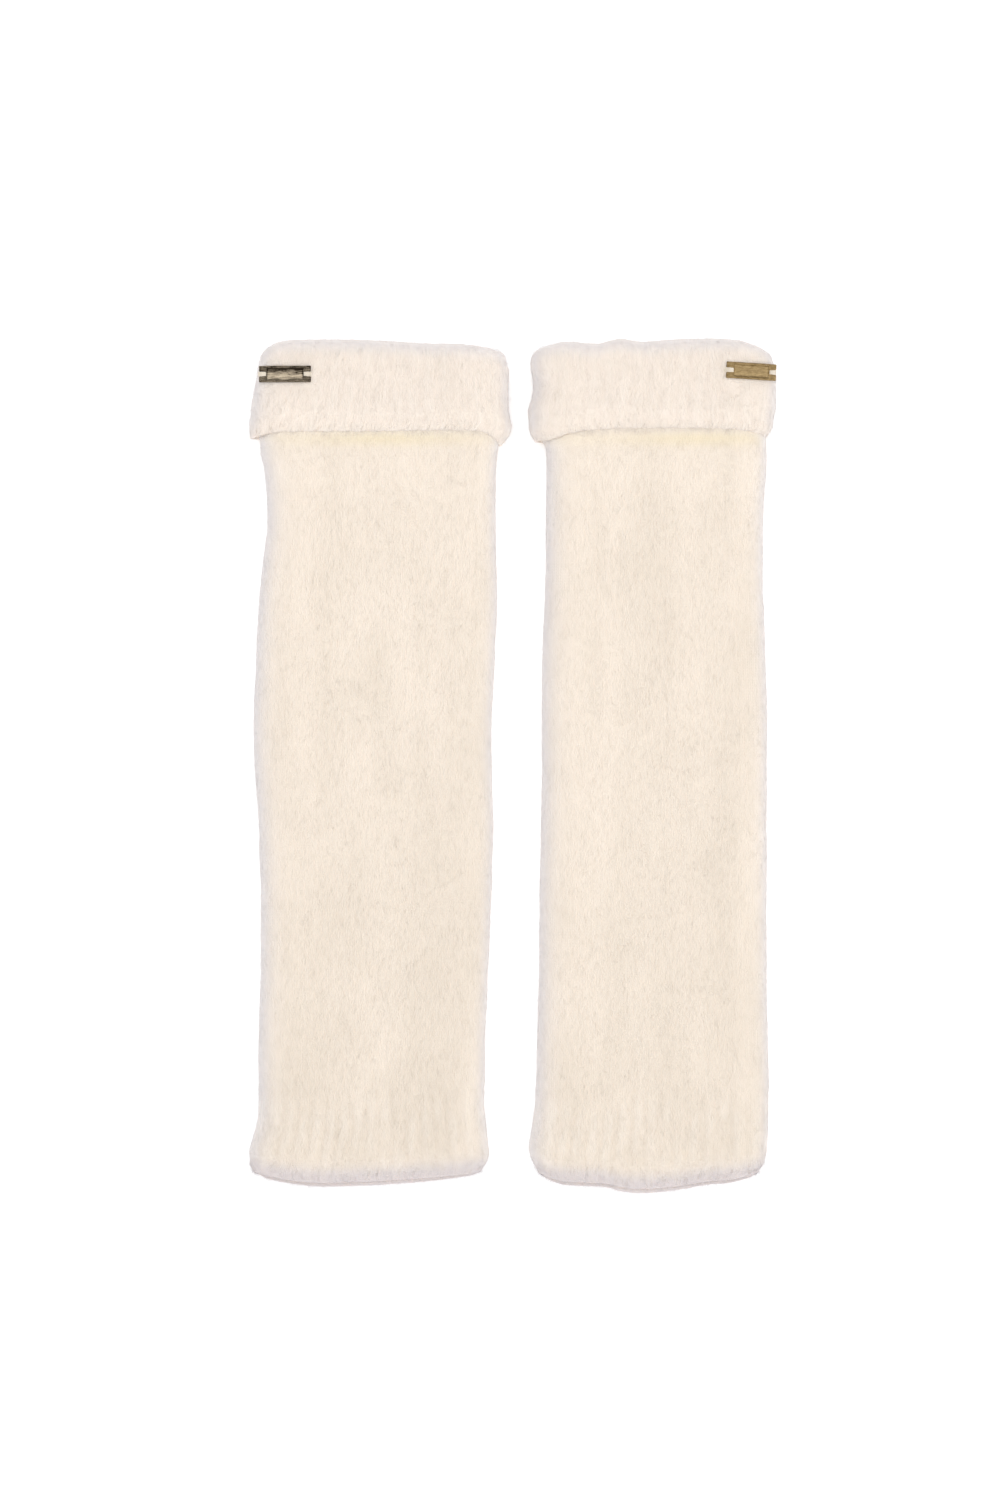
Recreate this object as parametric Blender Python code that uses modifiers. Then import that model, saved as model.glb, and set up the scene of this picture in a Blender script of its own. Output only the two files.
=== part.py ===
"""A pair of knitted leg warmers laid flat, side by side, with their ribbed tops turned down.

Run it with: blender --background --python part.py

Each warmer is a flattened tube: a plain brushed leg, a ribbed hem at the foot end, a ribbed top that is
folded outwards over the leg as a double cuff, and a small notched metal plate sewn to the cuff.
X runs across the pair, Y runs up the legs to the cuffs, and Z is up from the surface they lie on.
All sizes in the tables are in millimetres.
"""

import math
from collections import namedtuple

import bmesh
import bpy
from mathutils import Matrix, Vector

MM = 0.001

# Cloth
WALL = 3.4  # one layer of brushed knit
HOLLOW = 1.0  # between the front and back panels of a flattened tube
LAYER_GAP = 0.5  # between the leg and the cuff folded over it
SEAM_GAP = 0.3  # between two knitted lengths that meet end to end
PANEL = WALL + HOLLOW / 2  # from the middle of a single tube to its outer face
CUFF_OUTSET = WALL + LAYER_GAP  # from the leg's outer face to the cuff's
CUFF_PANEL = PANEL + CUFF_OUTSET
FOLD_RADIUS = WALL + LAYER_GAP / 2  # outside of the cuff's turned edge

# Side folds, from the outline to where the panel runs straight
BACK_ROUND = 5.0
SIDE_FOLD_POINTS = 4
STRAIGHT_POINTS = 12
BACK_FOLD_POINTS = 3
BACK_STRAIGHT_POINTS = 4

# Ribs, counted across one panel with its side folds
RIBS = 17
RIB_HEIGHT = 0.9
RIB_PROFILE = (0.0, 0.8, 1.0, 0.8)  # groove, shoulder, crest, shoulder
RIBS_FADE = 12.0  # length over which the hem's ribs grow out of the plain leg

# Seams along the leg
HEM_SEAM = -159.5
CUFF_SEAM = 172.0
STEP_TOP = 158.0  # the leg climbs onto the cuff's back layer below this
STEP_LENGTH = 26.0

# Soft lift of the front panel, held up by the springy side folds
EVEN_LIFT = 0.35
SIDE_LIFT = 1.3
RIDGE_AT = 44.0  # from the warmer's middle line
RIDGE_SPREAD = 13.0

# Metal plate
PLATE_LENGTH = 26.0
PLATE_WIDTH = 8.2
PLATE_THICKNESS = 1.2
NOTCH_WIDTH = 2.6
NOTCH_DEPTH = 2.7
NOTCH_TAPER = 0.6
RAIL_WIDTH = 1.1  # raised border along the long edges
POCKET_DEPTH = 0.45
PLATE_EDGE = 0.18  # rounding of the plate's edges
PLATE_SEAT = 0.3  # clearance over the ribs

# Brings the middle of the pair's box to the origin
CENTRING = Vector((0.54, -0.12, 0.0))

CREAM = (0.871, 0.796, 0.694)
GOLD = (0.48, 0.35, 0.17)

# One row for each section: Y at the sides, the outline's left and right, and extra height of the front
Section = namedtuple("Section", "y left right loft")
# One row for each point of a shaped edge: the share across, and Y of the front and back panels there
Edge = namedtuple("Edge", "across front back")
# One row for each soft hollow or swelling of a front panel
Dent = namedtuple("Dent", "x y half_width half_length lift")
Plate = namedtuple("Plate", "x y turn tilt")
Warmer = namedtuple(
    "Warmer", "name middle left_round right_round leg cuff hem fold cuff_rim hem_rim dents plate"
)

LEFT = Warmer(
    name="left",
    middle=-68.6,
    left_round=9.0,
    right_round=9.0,
    leg=(
        Section(y=172, left=-128.2, right=-4.9, loft=0.0),
        Section(y=166, left=-126.9, right=-6.8, loft=0.0),
        Section(y=160.5, left=-126.0, right=-9.4, loft=0.0),
        Section(y=156, left=-125.7, right=-8.8, loft=0.0),
        Section(y=148, left=-123.9, right=-8.9, loft=0.0),
        Section(y=133, left=-122.8, right=-9.7, loft=0.1),
        Section(y=118, left=-122.9, right=-9.6, loft=0.2),
        Section(y=88, left=-126.3, right=-8.7, loft=0.3),
        Section(y=58, left=-127.8, right=-9.7, loft=0.4),
        Section(y=13, left=-129.2, right=-11.7, loft=0.4),
        Section(y=-32, left=-126.8, right=-10.8, loft=0.4),
        Section(y=-62, left=-125.8, right=-11.7, loft=0.4),
        Section(y=-107, left=-125.8, right=-13.6, loft=0.4),
        Section(y=-137, left=-126.8, right=-14.7, loft=0.4),
        Section(y=-159.5, left=-126.8, right=-15.0, loft=0.5),
    ),
    cuff=(
        Section(y=163, left=-129.8, right=-5.1, loft=0.0),
        Section(y=167, left=-131.3, right=-2.3, loft=0.0),
        Section(y=172, left=-132.3, right=-0.8, loft=0.0),
        Section(y=178, left=-130.5, right=-1.5, loft=0.0),
        Section(y=187, left=-129.4, right=-2.7, loft=0.0),
        Section(y=193, left=-128.7, right=-2.7, loft=0.0),
        Section(y=199, left=-127.1, right=-2.8, loft=0.0),
        Section(y=203, left=-126.6, right=-3.0, loft=0.0),
        Section(y=206.5, left=-126.0, right=-4.2, loft=0.0),
    ),
    hem=(
        Section(y=-159.5, left=-126.8, right=-15.0, loft=0.5),
        Section(y=-172, left=-126.8, right=-14.6, loft=0.8),
        Section(y=-178, left=-127.4, right=-14.1, loft=1.1),
        Section(y=-184, left=-129.0, right=-13.4, loft=1.3),
        Section(y=-191, left=-131.1, right=-12.6, loft=1.3),
        Section(y=-197, left=-131.3, right=-13.4, loft=0.6),
        Section(y=-200, left=-131.2, right=-14.2, loft=0.1),
        Section(y=-202.5, left=-130.7, right=-15.4, loft=-0.3),
    ),
    fold=(
        Edge(across=0.0, front=206.2, back=206.5),
        Edge(across=0.024, front=209.0, back=210.0),
        Edge(across=0.066, front=210.5, back=211.8),
        Edge(across=0.15, front=211.0, back=212.4),
        Edge(across=0.32, front=211.0, back=212.4),
        Edge(across=0.5, front=210.4, back=211.8),
        Edge(across=0.7, front=209.1, back=210.4),
        Edge(across=0.83, front=208.9, back=210.2),
        Edge(across=0.95, front=207.3, back=208.4),
        Edge(across=1.0, front=206.0, back=206.6),
    ),
    cuff_rim=(
        Edge(across=0.0, front=164.0, back=163.6),
        Edge(across=0.05, front=165.5, back=163.4),
        Edge(across=0.12, front=166.6, back=163.2),
        Edge(across=0.5, front=167.0, back=163.0),
        Edge(across=0.9, front=167.2, back=162.0),
        Edge(across=0.96, front=164.2, back=160.8),
        Edge(across=1.0, front=160.2, back=159.8),
    ),
    hem_rim=(
        Edge(across=0.0, front=-202.0, back=-202.5),
        Edge(across=0.027, front=-202.8, back=-203.7),
        Edge(across=0.07, front=-204.4, back=-206.0),
        Edge(across=0.2, front=-206.8, back=-208.7),
        Edge(across=0.29, front=-207.6, back=-209.6),
        Edge(across=0.43, front=-207.3, back=-209.3),
        Edge(across=0.56, front=-206.7, back=-208.7),
        Edge(across=0.78, front=-205.0, back=-206.8),
        Edge(across=0.956, front=-202.8, back=-204.0),
        Edge(across=1.0, front=-201.4, back=-202.2),
    ),
    dents=(
        Dent(x=-76, y=-88, half_width=26, half_length=34, lift=-0.8),
        Dent(x=-58, y=96, half_width=18, half_length=44, lift=0.7),
        Dent(x=-92, y=30, half_width=22, half_length=36, lift=0.5),
        Dent(x=-34, y=-20, half_width=16, half_length=60, lift=0.6),
        Dent(x=-52, y=-128, half_width=24, half_length=20, lift=0.5),
        Dent(x=-114, y=195.5, half_width=9, half_length=9, lift=-1.4),
    ),
    plate=Plate(x=-113.8, y=195.6, turn=0.0, tilt=-4.0),
)

RIGHT = Warmer(
    name="right",
    middle=70.0,
    left_round=9.0,
    right_round=15.0,
    leg=(
        Section(y=172, left=11.3, right=125.3, loft=0.0),
        Section(y=165, left=12.4, right=123.5, loft=0.0),
        Section(y=158, left=15.4, right=125.4, loft=0.0),
        Section(y=148, left=16.9, right=125.6, loft=0.0),
        Section(y=133, left=17.2, right=124.3, loft=0.1),
        Section(y=103, left=16.7, right=123.8, loft=0.2),
        Section(y=58, left=15.2, right=124.8, loft=0.4),
        Section(y=28, left=14.7, right=125.8, loft=0.4),
        Section(y=-17, left=14.6, right=125.8, loft=0.4),
        Section(y=-62, left=13.7, right=125.8, loft=0.4),
        Section(y=-107, left=13.2, right=125.8, loft=0.4),
        Section(y=-137, left=12.2, right=126.2, loft=0.4),
        Section(y=-159.5, left=11.7, right=127.1, loft=0.5),
    ),
    cuff=(
        Section(y=163, left=9.8, right=127.5, loft=0.0),
        Section(y=167, left=7.9, right=128.6, loft=0.0),
        Section(y=172, left=7.2, right=129.4, loft=0.0),
        Section(y=178, left=7.6, right=130.4, loft=0.0),
        Section(y=184, left=8.6, right=130.4, loft=0.0),
        Section(y=190, left=9.6, right=130.6, loft=0.0),
        Section(y=196, left=9.4, right=130.4, loft=0.0),
        Section(y=202, left=9.1, right=129.8, loft=0.0),
        Section(y=206, left=9.4, right=128.9, loft=0.0),
    ),
    hem=(
        Section(y=-159.5, left=11.7, right=127.1, loft=0.5),
        Section(y=-172, left=11.2, right=126.8, loft=0.8),
        Section(y=-178, left=10.3, right=126.8, loft=1.1),
        Section(y=-184, left=9.7, right=126.3, loft=1.3),
        Section(y=-190, left=8.5, right=126.2, loft=1.3),
        Section(y=-196, left=9.8, right=125.3, loft=0.7),
        Section(y=-200, left=10.9, right=124.5, loft=0.1),
        Section(y=-202.8, left=12.2, right=123.2, loft=-0.3),
    ),
    fold=(
        Edge(across=0.0, front=205.7, back=206.0),
        Edge(across=0.02, front=207.9, back=208.6),
        Edge(across=0.06, front=208.8, back=210.0),
        Edge(across=0.12, front=210.0, back=211.4),
        Edge(across=0.26, front=209.1, back=210.5),
        Edge(across=0.36, front=211.5, back=212.9),
        Edge(across=0.45, front=210.0, back=211.4),
        Edge(across=0.58, front=211.0, back=212.4),
        Edge(across=0.68, front=211.5, back=212.9),
        Edge(across=0.87, front=211.0, back=212.4),
        Edge(across=0.96, front=208.4, back=209.4),
        Edge(across=1.0, front=205.6, back=206.0),
    ),
    cuff_rim=(
        Edge(across=0.0, front=162.8, back=162.0),
        Edge(across=0.06, front=162.8, back=161.4),
        Edge(across=0.15, front=166.0, back=162.6),
        Edge(across=0.3, front=168.2, back=163.6),
        Edge(across=0.5, front=168.8, back=164.0),
        Edge(across=0.8, front=168.4, back=163.8),
        Edge(across=0.93, front=166.8, back=163.6),
        Edge(across=1.0, front=164.2, back=163.4),
    ),
    hem_rim=(
        Edge(across=0.0, front=-202.2, back=-202.8),
        Edge(across=0.04, front=-204.4, back=-205.8),
        Edge(across=0.086, front=-206.2, back=-207.9),
        Edge(across=0.13, front=-207.0, back=-208.9),
        Edge(across=0.22, front=-207.4, back=-209.4),
        Edge(across=0.31, front=-208.0, back=-210.0),
        Edge(across=0.38, front=-209.8, back=-212.0),
        Edge(across=0.46, front=-210.6, back=-212.8),
        Edge(across=0.59, front=-209.8, back=-211.9),
        Edge(across=0.78, front=-206.8, back=-208.6),
        Edge(across=0.87, front=-206.0, back=-207.8),
        Edge(across=0.96, front=-203.8, back=-205.2),
        Edge(across=1.0, front=-202.2, back=-203.0),
    ),
    dents=(
        Dent(x=72, y=-20, half_width=14, half_length=80, lift=-0.8),
        Dent(x=44, y=20, half_width=20, half_length=90, lift=0.6),
        Dent(x=98, y=60, half_width=18, half_length=40, lift=0.6),
        Dent(x=100, y=-60, half_width=20, half_length=44, lift=0.5),
        Dent(x=60, y=126, half_width=26, half_length=18, lift=0.6),
        Dent(x=116, y=197, half_width=9, half_length=9, lift=-1.6),
    ),
    plate=Plate(x=118.9, y=197.1, turn=-2.6, tilt=16.0),
)


def blend(start, end, share):
    return start + (end - start) * share


def ease(share):
    """0 below 0, 1 above 1, and a smooth rise between."""
    share = min(1.0, max(0.0, share))
    return share * share * (3 - 2 * share)


def hump(distance, reach):
    """1 at the centre, falling smoothly to almost nothing at twice the reach."""
    return math.exp(-((distance / reach) ** 2))


def read_rows(rows, key, at, column):
    """The column's value where key equals at, on a smooth curve through the rows."""
    rows = sorted(rows, key=lambda row: getattr(row, key))
    keys = [getattr(row, key) for row in rows]
    values = [getattr(row, column) for row in rows]
    at = min(keys[-1], max(keys[0], at))
    i = max((k for k in range(len(keys) - 1) if keys[k] <= at), default=0)

    def slope(k):
        before, after = max(k - 1, 0), min(k + 1, len(keys) - 1)
        return (values[after] - values[before]) / (keys[after] - keys[before])

    length = keys[i + 1] - keys[i]
    t = (at - keys[i]) / length
    return (
        values[i] * (1 + 2 * t) * (1 - t) ** 2
        + values[i + 1] * t * t * (3 - 2 * t)
        + slope(i) * length * t * (1 - t) ** 2
        - slope(i + 1) * length * t * t * (1 - t)
    )


def leg_middle(y):
    """Height of the leg's middle: it climbs onto the cuff's back layer near the top."""
    return blend(PANEL, CUFF_PANEL, ease((y - STEP_TOP + STEP_LENGTH) / STEP_LENGTH))


def front_lift(warmer, x, y):
    """How far the front panel stands above its flat height."""
    off = x - warmer.middle
    ridges = hump(off + RIDGE_AT, RIDGE_SPREAD) + hump(off - RIDGE_AT, RIDGE_SPREAD)
    dents = sum(
        dent.lift * hump(x - dent.x, dent.half_width) * hump(y - dent.y, dent.half_length)
        for dent in warmer.dents
    )
    return max(0.0, EVEN_LIFT + SIDE_LIFT * ridges + dents)


def quarter_arc(across, up):
    return math.pi / 2 * math.hypot(across, up) / math.sqrt(2)


class Tube:
    """One knitted length of a warmer, as rings round the flattened tube.

    A share of 0 to 0.5 runs over the front panel from the left side to the right, and 0.5 to 1 runs back
    under it. Within each panel it keeps even steps along the cloth.
    """

    def __init__(self, warmer, sections, panel, outset=0.0, middle=None, edge_from=None, edge_to=None):
        self.warmer = warmer
        self.sections = sections
        self.panel = panel
        self.middle = middle or (lambda y: panel)
        self.edge_from = edge_from
        self.edge_to = edge_to
        self.first = min(row.y for row in sections)
        self.last = max(row.y for row in sections)
        self.front_rounds = (warmer.left_round + outset, warmer.right_round + outset)
        self.back_rounds = (BACK_ROUND + outset, BACK_ROUND + outset)
        self.front_folds = self.fold_shares(self.front_rounds)
        self.back_folds = self.fold_shares(self.back_rounds)

    def fold_shares(self, rounds):
        """The shares of a panel taken by its left and right side folds."""
        halfway = (self.first + self.last) / 2
        width = self.row(halfway, "right") - self.row(halfway, "left")
        arcs = [quarter_arc(reach, self.panel) for reach in rounds]
        total = sum(arcs) + width - sum(rounds)
        return [arc / total for arc in arcs]

    def plain_shares(self):
        """Shares of the few points round a ring without ribs."""
        shares = []
        panels = (
            (self.front_folds, SIDE_FOLD_POINTS, STRAIGHT_POINTS),
            (self.back_folds[::-1], BACK_FOLD_POINTS, BACK_STRAIGHT_POINTS),
        )
        for start, ((first, last), fold_points, straight_points) in zip((0.0, 0.5), panels):
            steps = [first * i / fold_points for i in range(fold_points)]
            steps += [blend(first, 1 - last, i / straight_points) for i in range(straight_points)]
            steps += [1 - last + last * i / fold_points for i in range(fold_points)]
            shares += [start + step / 2 for step in steps]
        return shares

    def ribbed_shares(self):
        """Evenly spaced points over the front, four to a rib, and few on the plain back."""
        points = RIBS * len(RIB_PROFILE)
        back = [share for share in self.plain_shares() if share >= 0.5]
        return [i / points / 2 for i in range(points)] + back

    def row(self, y, column):
        return read_rows(self.sections, "y", y, column)

    def length_place(self, across, y, front_share):
        """Y of a point, so that the rings follow the shaped edges at the two ends."""

        def edge(rows, straight):
            if rows is None:
                return straight
            front = read_rows(rows, "across", across, "front")
            back = read_rows(rows, "across", across, "back")
            return blend(back, front, front_share)

        share = (y - self.first) / (self.last - self.first)
        return blend(edge(self.edge_from, self.first), edge(self.edge_to, self.last), share)

    def point(self, share, y, inset, relief=0.0, beyond=0.0):
        """The point at this share round the ring, this far inside the outer face."""
        left, right = self.row(y, "left") + inset, self.row(y, "right") - inset
        front = share < 0.5
        along = share * 2 if front else 2 - share * 2
        folds = self.front_folds if front else self.back_folds
        rounds = [reach - inset for reach in (self.front_rounds if front else self.back_rounds)]
        if along < folds[0]:
            angle = math.pi / 2 * along / folds[0]
            x, side, reach = left + rounds[0] * (1 - math.cos(angle)), -1, rounds[0]
        elif along > 1 - folds[1]:
            angle = math.pi / 2 * (1 - along) / folds[1]
            x, side, reach = right - rounds[1] * (1 - math.cos(angle)), 1, rounds[1]
        else:
            angle, side, reach = math.pi / 2, 0, 1.0
            x = blend(left + rounds[0], right - rounds[1], (along - folds[0]) / (1 - sum(folds)))
        towards_front = math.sin(angle) if front else -math.sin(angle)
        place = self.length_place((x - left) / (right - left), y, (1 + towards_front) / 2) + beyond
        height = self.panel - inset
        if front:
            height += self.row(y, "loft") + front_lift(self.warmer, x, place)
        z = self.middle(place) + height * towards_front
        outward = Vector((side * height * math.cos(angle), 0, reach * towards_front)).normalized()
        return Vector((x, place, z)) + outward * relief

    def rib_relief(self, share):
        """Height of the ribbing, which only the front panel and its side folds have."""
        if share > 0.5:
            return 0.0
        step = round(share * 2 * RIBS * len(RIB_PROFILE))
        return RIB_HEIGHT * RIB_PROFILE[step % len(RIB_PROFILE)]

    def ring(self, bm, y, inset, beyond=0.0, ribs=None, level=False):
        """A ring of vertices, plain if ribs is None, or else with that share of the ribs' full height.

        A level ring keeps one Y all round, as at a seam.
        """
        ring = []
        for share in self.plain_shares() if ribs is None else self.ribbed_shares():
            relief = 0.0 if ribs is None else ribs * self.rib_relief(share)
            point = self.point(share, y, inset, relief, beyond)
            if level:
                point.y = y
            ring.append((share, bm.verts.new((point + CENTRING) * MM)))
        return ring + [(1.0, ring[0][1])]


def join_rings(bm, lower, upper):
    """Triangles between two rings that may hold unlike numbers of points."""
    i = j = 0
    while i < len(lower) - 1 or j < len(upper) - 1:
        on_lower = j == len(upper) - 1 or (i < len(lower) - 1 and lower[i + 1][0] <= upper[j + 1][0])
        if on_lower:
            bm.faces.new((lower[i][1], lower[i + 1][1], upper[j][1]))
            i += 1
        else:
            bm.faces.new((lower[i][1], upper[j + 1][1], upper[j][1]))
            j += 1


def add_object(name, bm, colour, collection, roughness, metallic=0.0):
    mesh = bpy.data.meshes.new(name)
    bm.to_mesh(mesh)
    bm.free()
    obj = bpy.data.objects.new(name, mesh)
    collection.objects.link(obj)
    material = bpy.data.materials.new(name)
    material.use_nodes = True
    shader = material.node_tree.nodes["Principled BSDF"]
    shader.inputs["Base Color"].default_value = (*colour, 1.0)
    shader.inputs["Roughness"].default_value = roughness
    shader.inputs["Metallic"].default_value = metallic
    mesh.materials.append(material)
    mesh.shade_smooth()
    mesh.set_sharp_from_angle(angle=math.radians(40))
    return obj


def knitted_piece(name, rings, collection, bm):
    """Joins the rings into one closed wall and makes it an object."""
    for ring, following in zip(rings, rings[1:] + rings[:1]):
        join_rings(bm, ring, following)
    bmesh.ops.recalc_face_normals(bm, faces=bm.faces)
    return add_object(name, bm, CREAM, collection, roughness=0.95)


def spaced(start, end, steps):
    return [blend(start, end, i / steps) for i in range(steps + 1)]


def leg_tube(warmer, collection):
    """The plain brushed leg, between the hem's seam and the seam under the cuff."""
    tube = Tube(warmer, warmer.leg, PANEL, middle=leg_middle)
    bm = bmesh.new()
    step = spaced(STEP_TOP, STEP_TOP - STEP_LENGTH, 3)
    leg = spaced(STEP_TOP - STEP_LENGTH, HEM_SEAM + SEAM_GAP, 14)[1:]
    outer = [tube.ring(bm, y, 0.0) for y in [CUFF_SEAM, 165, *step, *leg]]
    inner = [tube.ring(bm, y, WALL) for y in [*leg[::-2], *step[::-1], CUFF_SEAM]]
    return knitted_piece(f"{warmer.name}_leg_tube", outer + inner, collection, bm)


def hem_rib(warmer, collection):
    """The ribbed foot end, whose front edge is drawn up a little over the back one."""
    tube = Tube(warmer, warmer.hem, PANEL, edge_from=warmer.hem_rim)
    bm = bmesh.new()
    rim = tube.first
    outer = [
        tube.ring(bm, y, 0.0, ribs=ease((HEM_SEAM - y) / RIBS_FADE))
        for y in (HEM_SEAM, -165.5, -173, -181, -189, -195.5, rim + 1.7)
    ]
    tip = [
        tube.ring(bm, rim, 0.8, beyond=0.45, ribs=0.5),
        tube.ring(bm, rim, WALL / 2),
        tube.ring(bm, rim, WALL * 0.77, beyond=0.45),
    ]
    inner = [tube.ring(bm, y, WALL) for y in (rim + 1.7, -195.5, -181, HEM_SEAM)]
    return knitted_piece(f"{warmer.name}_hem_rib", outer + tip + inner, collection, bm)


def cuff_tube(warmer):
    centre = [
        edge._replace(front=edge.front - FOLD_RADIUS, back=edge.back - FOLD_RADIUS) for edge in warmer.fold
    ]
    sections = [row._replace(y=row.y - FOLD_RADIUS) if row.y > 200 else row for row in warmer.cuff]
    return Tube(
        warmer,
        sections,
        CUFF_PANEL,
        outset=CUFF_OUTSET,
        edge_from=warmer.cuff_rim,
        edge_to=centre,
    )


def turned_cuff(warmer, collection):
    """The ribbed top: it runs up from the seam, over the fold, and down outside the leg."""
    tube = cuff_tube(warmer)
    bm = bmesh.new()
    rim, fold = tube.first, tube.last
    tip = [tube.ring(bm, rim, WALL / 2), tube.ring(bm, rim, 0.8, beyond=0.45, ribs=0.6)]
    outer = [tube.ring(bm, y, 0.0, ribs=1.0) for y in (rim + 1.7, 171, 179, 187, 195, fold)]
    turn = []
    for degrees, ribs in ((30, 1.0), (60, 0.9), (90, None), (120, None), (150, None)):
        angle = math.radians(degrees)
        inset = FOLD_RADIUS * (1 - math.cos(angle))
        turn.append(tube.ring(bm, fold, inset, beyond=FOLD_RADIUS * math.sin(angle), ribs=ribs))
    inside = WALL + CUFF_OUTSET
    seam = CUFF_SEAM + SEAM_GAP
    under = [tube.ring(bm, y, inside) for y in (fold, 187)]
    under += [tube.ring(bm, seam, inset, level=True) for inset in (inside, CUFF_OUTSET)]
    under += [tube.ring(bm, y, CUFF_OUTSET) for y in (187, fold)]
    under.append(tube.ring(bm, fold, FOLD_RADIUS, beyond=LAYER_GAP / 2))
    lining = [tube.ring(bm, y, WALL) for y in (fold, 187, 171, rim + 1.7)]
    lining.append(tube.ring(bm, rim, WALL * 0.77, beyond=0.45))
    return knitted_piece(f"{warmer.name}_turned_cuff", tip + outer + turn + under + lining, collection, bm)


def plate_outline():
    """Corners of the plate seen from above, with a notch in each short end."""
    long, wide, notch = PLATE_LENGTH / 2, PLATE_WIDTH / 2, NOTCH_WIDTH / 2
    right = [(long, -wide), (long, -notch), (long - NOTCH_DEPTH, -notch * NOTCH_TAPER)]
    right += [(x, -y) for x, y in reversed(right)]
    return right + [(-x, -y) for x, y in right]


def metal_plate(warmer, collection, cutters):
    """The notched plate with a sunk field, laid on the cuff's ribs."""
    bm = bmesh.new()
    half = PLATE_THICKNESS / 2
    base = bm.faces.new([bm.verts.new(Vector((x, y, -half)) * MM) for x, y in plate_outline()])
    raised = bmesh.ops.extrude_face_region(bm, geom=[base])["geom"]
    top = [item for item in raised if isinstance(item, bmesh.types.BMVert)]
    bmesh.ops.translate(bm, verts=top, vec=(0, 0, PLATE_THICKNESS * MM))
    bmesh.ops.recalc_face_normals(bm, faces=bm.faces)
    plate = add_object(f"{warmer.name}_metal_plate", bm, GOLD, collection, roughness=0.3, metallic=1.0)

    bpy.ops.mesh.primitive_cube_add(size=1)
    pocket = bpy.context.object
    pocket.name = f"{warmer.name}_plate_pocket"
    field = (PLATE_LENGTH - 2 * (NOTCH_DEPTH + RAIL_WIDTH), PLATE_WIDTH - 2 * RAIL_WIDTH, 2 * POCKET_DEPTH)
    pocket.data.transform(Matrix.Diagonal((*[size * MM for size in field], 1)))
    for owner in list(pocket.users_collection):
        owner.objects.unlink(pocket)
    cutters.objects.link(pocket)
    pocket.hide_render = True
    pocket.display_type = "WIRE"

    seat = plate_seat(warmer)
    plate.matrix_world = seat
    pocket.matrix_world = seat @ Matrix.Translation((0, 0, half * MM))
    cut = plate.modifiers.new("Pocket", "BOOLEAN")
    cut.operation = "DIFFERENCE"
    cut.object = pocket
    rounded = plate.modifiers.new("Edges", "BEVEL")
    rounded.width = PLATE_EDGE * MM
    rounded.segments = 1
    rounded.limit_method = "ANGLE"
    return plate


def plate_seat(warmer):
    """Where the plate lies: its underside just clears the highest rib beneath it."""
    tube = cuff_tube(warmer)
    tilt, turn = math.radians(warmer.plate.tilt), math.radians(warmer.plate.turn)
    highest = 0.0
    for share in tube.ribbed_shares():
        for y in spaced(warmer.plate.y - PLATE_WIDTH / 2, warmer.plate.y + PLATE_WIDTH / 2, 4):
            on_rib = tube.point(share, y, 0.0, relief=tube.rib_relief(share))
            across = on_rib.x - warmer.plate.x
            if share < 0.5 and abs(across) < PLATE_LENGTH / 2:
                highest = max(highest, on_rib.z + across * math.tan(tilt))
    height = highest + (PLATE_SEAT + PLATE_THICKNESS / 2) / math.cos(tilt)
    place = Matrix.Translation((Vector((warmer.plate.x, warmer.plate.y, height)) + CENTRING) * MM)
    return place @ Matrix.Rotation(turn, 4, "Z") @ Matrix.Rotation(tilt, 4, "Y")


def new_collection(name):
    collection = bpy.data.collections.new(name)
    bpy.context.scene.collection.children.link(collection)
    return collection


def main():
    for obj in list(bpy.data.objects):
        bpy.data.objects.remove(obj)
    parts = new_collection("leg_warmers")
    cutters = new_collection("cutters")
    for warmer in (LEFT, RIGHT):
        leg_tube(warmer, parts)
        hem_rib(warmer, parts)
        turned_cuff(warmer, parts)
        metal_plate(warmer, parts, cutters)


main()
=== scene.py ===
import math

import bmesh
import bpy
import numpy as np
from mathutils import Matrix, Vector


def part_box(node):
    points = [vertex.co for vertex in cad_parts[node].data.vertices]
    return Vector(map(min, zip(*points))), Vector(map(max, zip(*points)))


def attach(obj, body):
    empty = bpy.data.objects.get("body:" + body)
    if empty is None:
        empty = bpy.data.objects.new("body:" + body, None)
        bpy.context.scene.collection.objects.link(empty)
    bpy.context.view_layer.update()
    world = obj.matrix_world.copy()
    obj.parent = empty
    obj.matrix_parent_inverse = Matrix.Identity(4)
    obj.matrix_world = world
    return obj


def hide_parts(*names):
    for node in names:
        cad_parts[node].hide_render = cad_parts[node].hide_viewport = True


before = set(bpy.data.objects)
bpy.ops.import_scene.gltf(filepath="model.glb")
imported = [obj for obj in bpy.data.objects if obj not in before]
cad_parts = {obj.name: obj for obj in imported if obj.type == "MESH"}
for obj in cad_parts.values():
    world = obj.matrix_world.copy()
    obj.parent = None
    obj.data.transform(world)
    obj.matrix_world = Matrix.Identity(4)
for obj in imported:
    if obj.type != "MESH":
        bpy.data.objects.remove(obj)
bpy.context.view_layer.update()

# Cloth sizes in millimetres, the same as the solids'
mm = 0.001
centring = (0.54, -0.12)  # brings the middle of the pair's box to the origin
wall = 3.4
hollow = 1.0
layerGap = 0.5
seamGap = 0.3
panel = wall + hollow / 2
cuffOutset = wall + layerGap
cuffPanel = panel + cuffOutset
foldRadius = wall + layerGap / 2
backRound = 5.0
hemSeam, cuffSeam = -159.5, 172.0
stepTop, stepLength = 158.0, 26.0
stitchesAcross = 68  # wales on one panel, four to each rib
courseHeight = 1.45
clothRest, fibreRest = 0.02, 0.05  # lowest Z of the cloth and of its fibres

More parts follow.
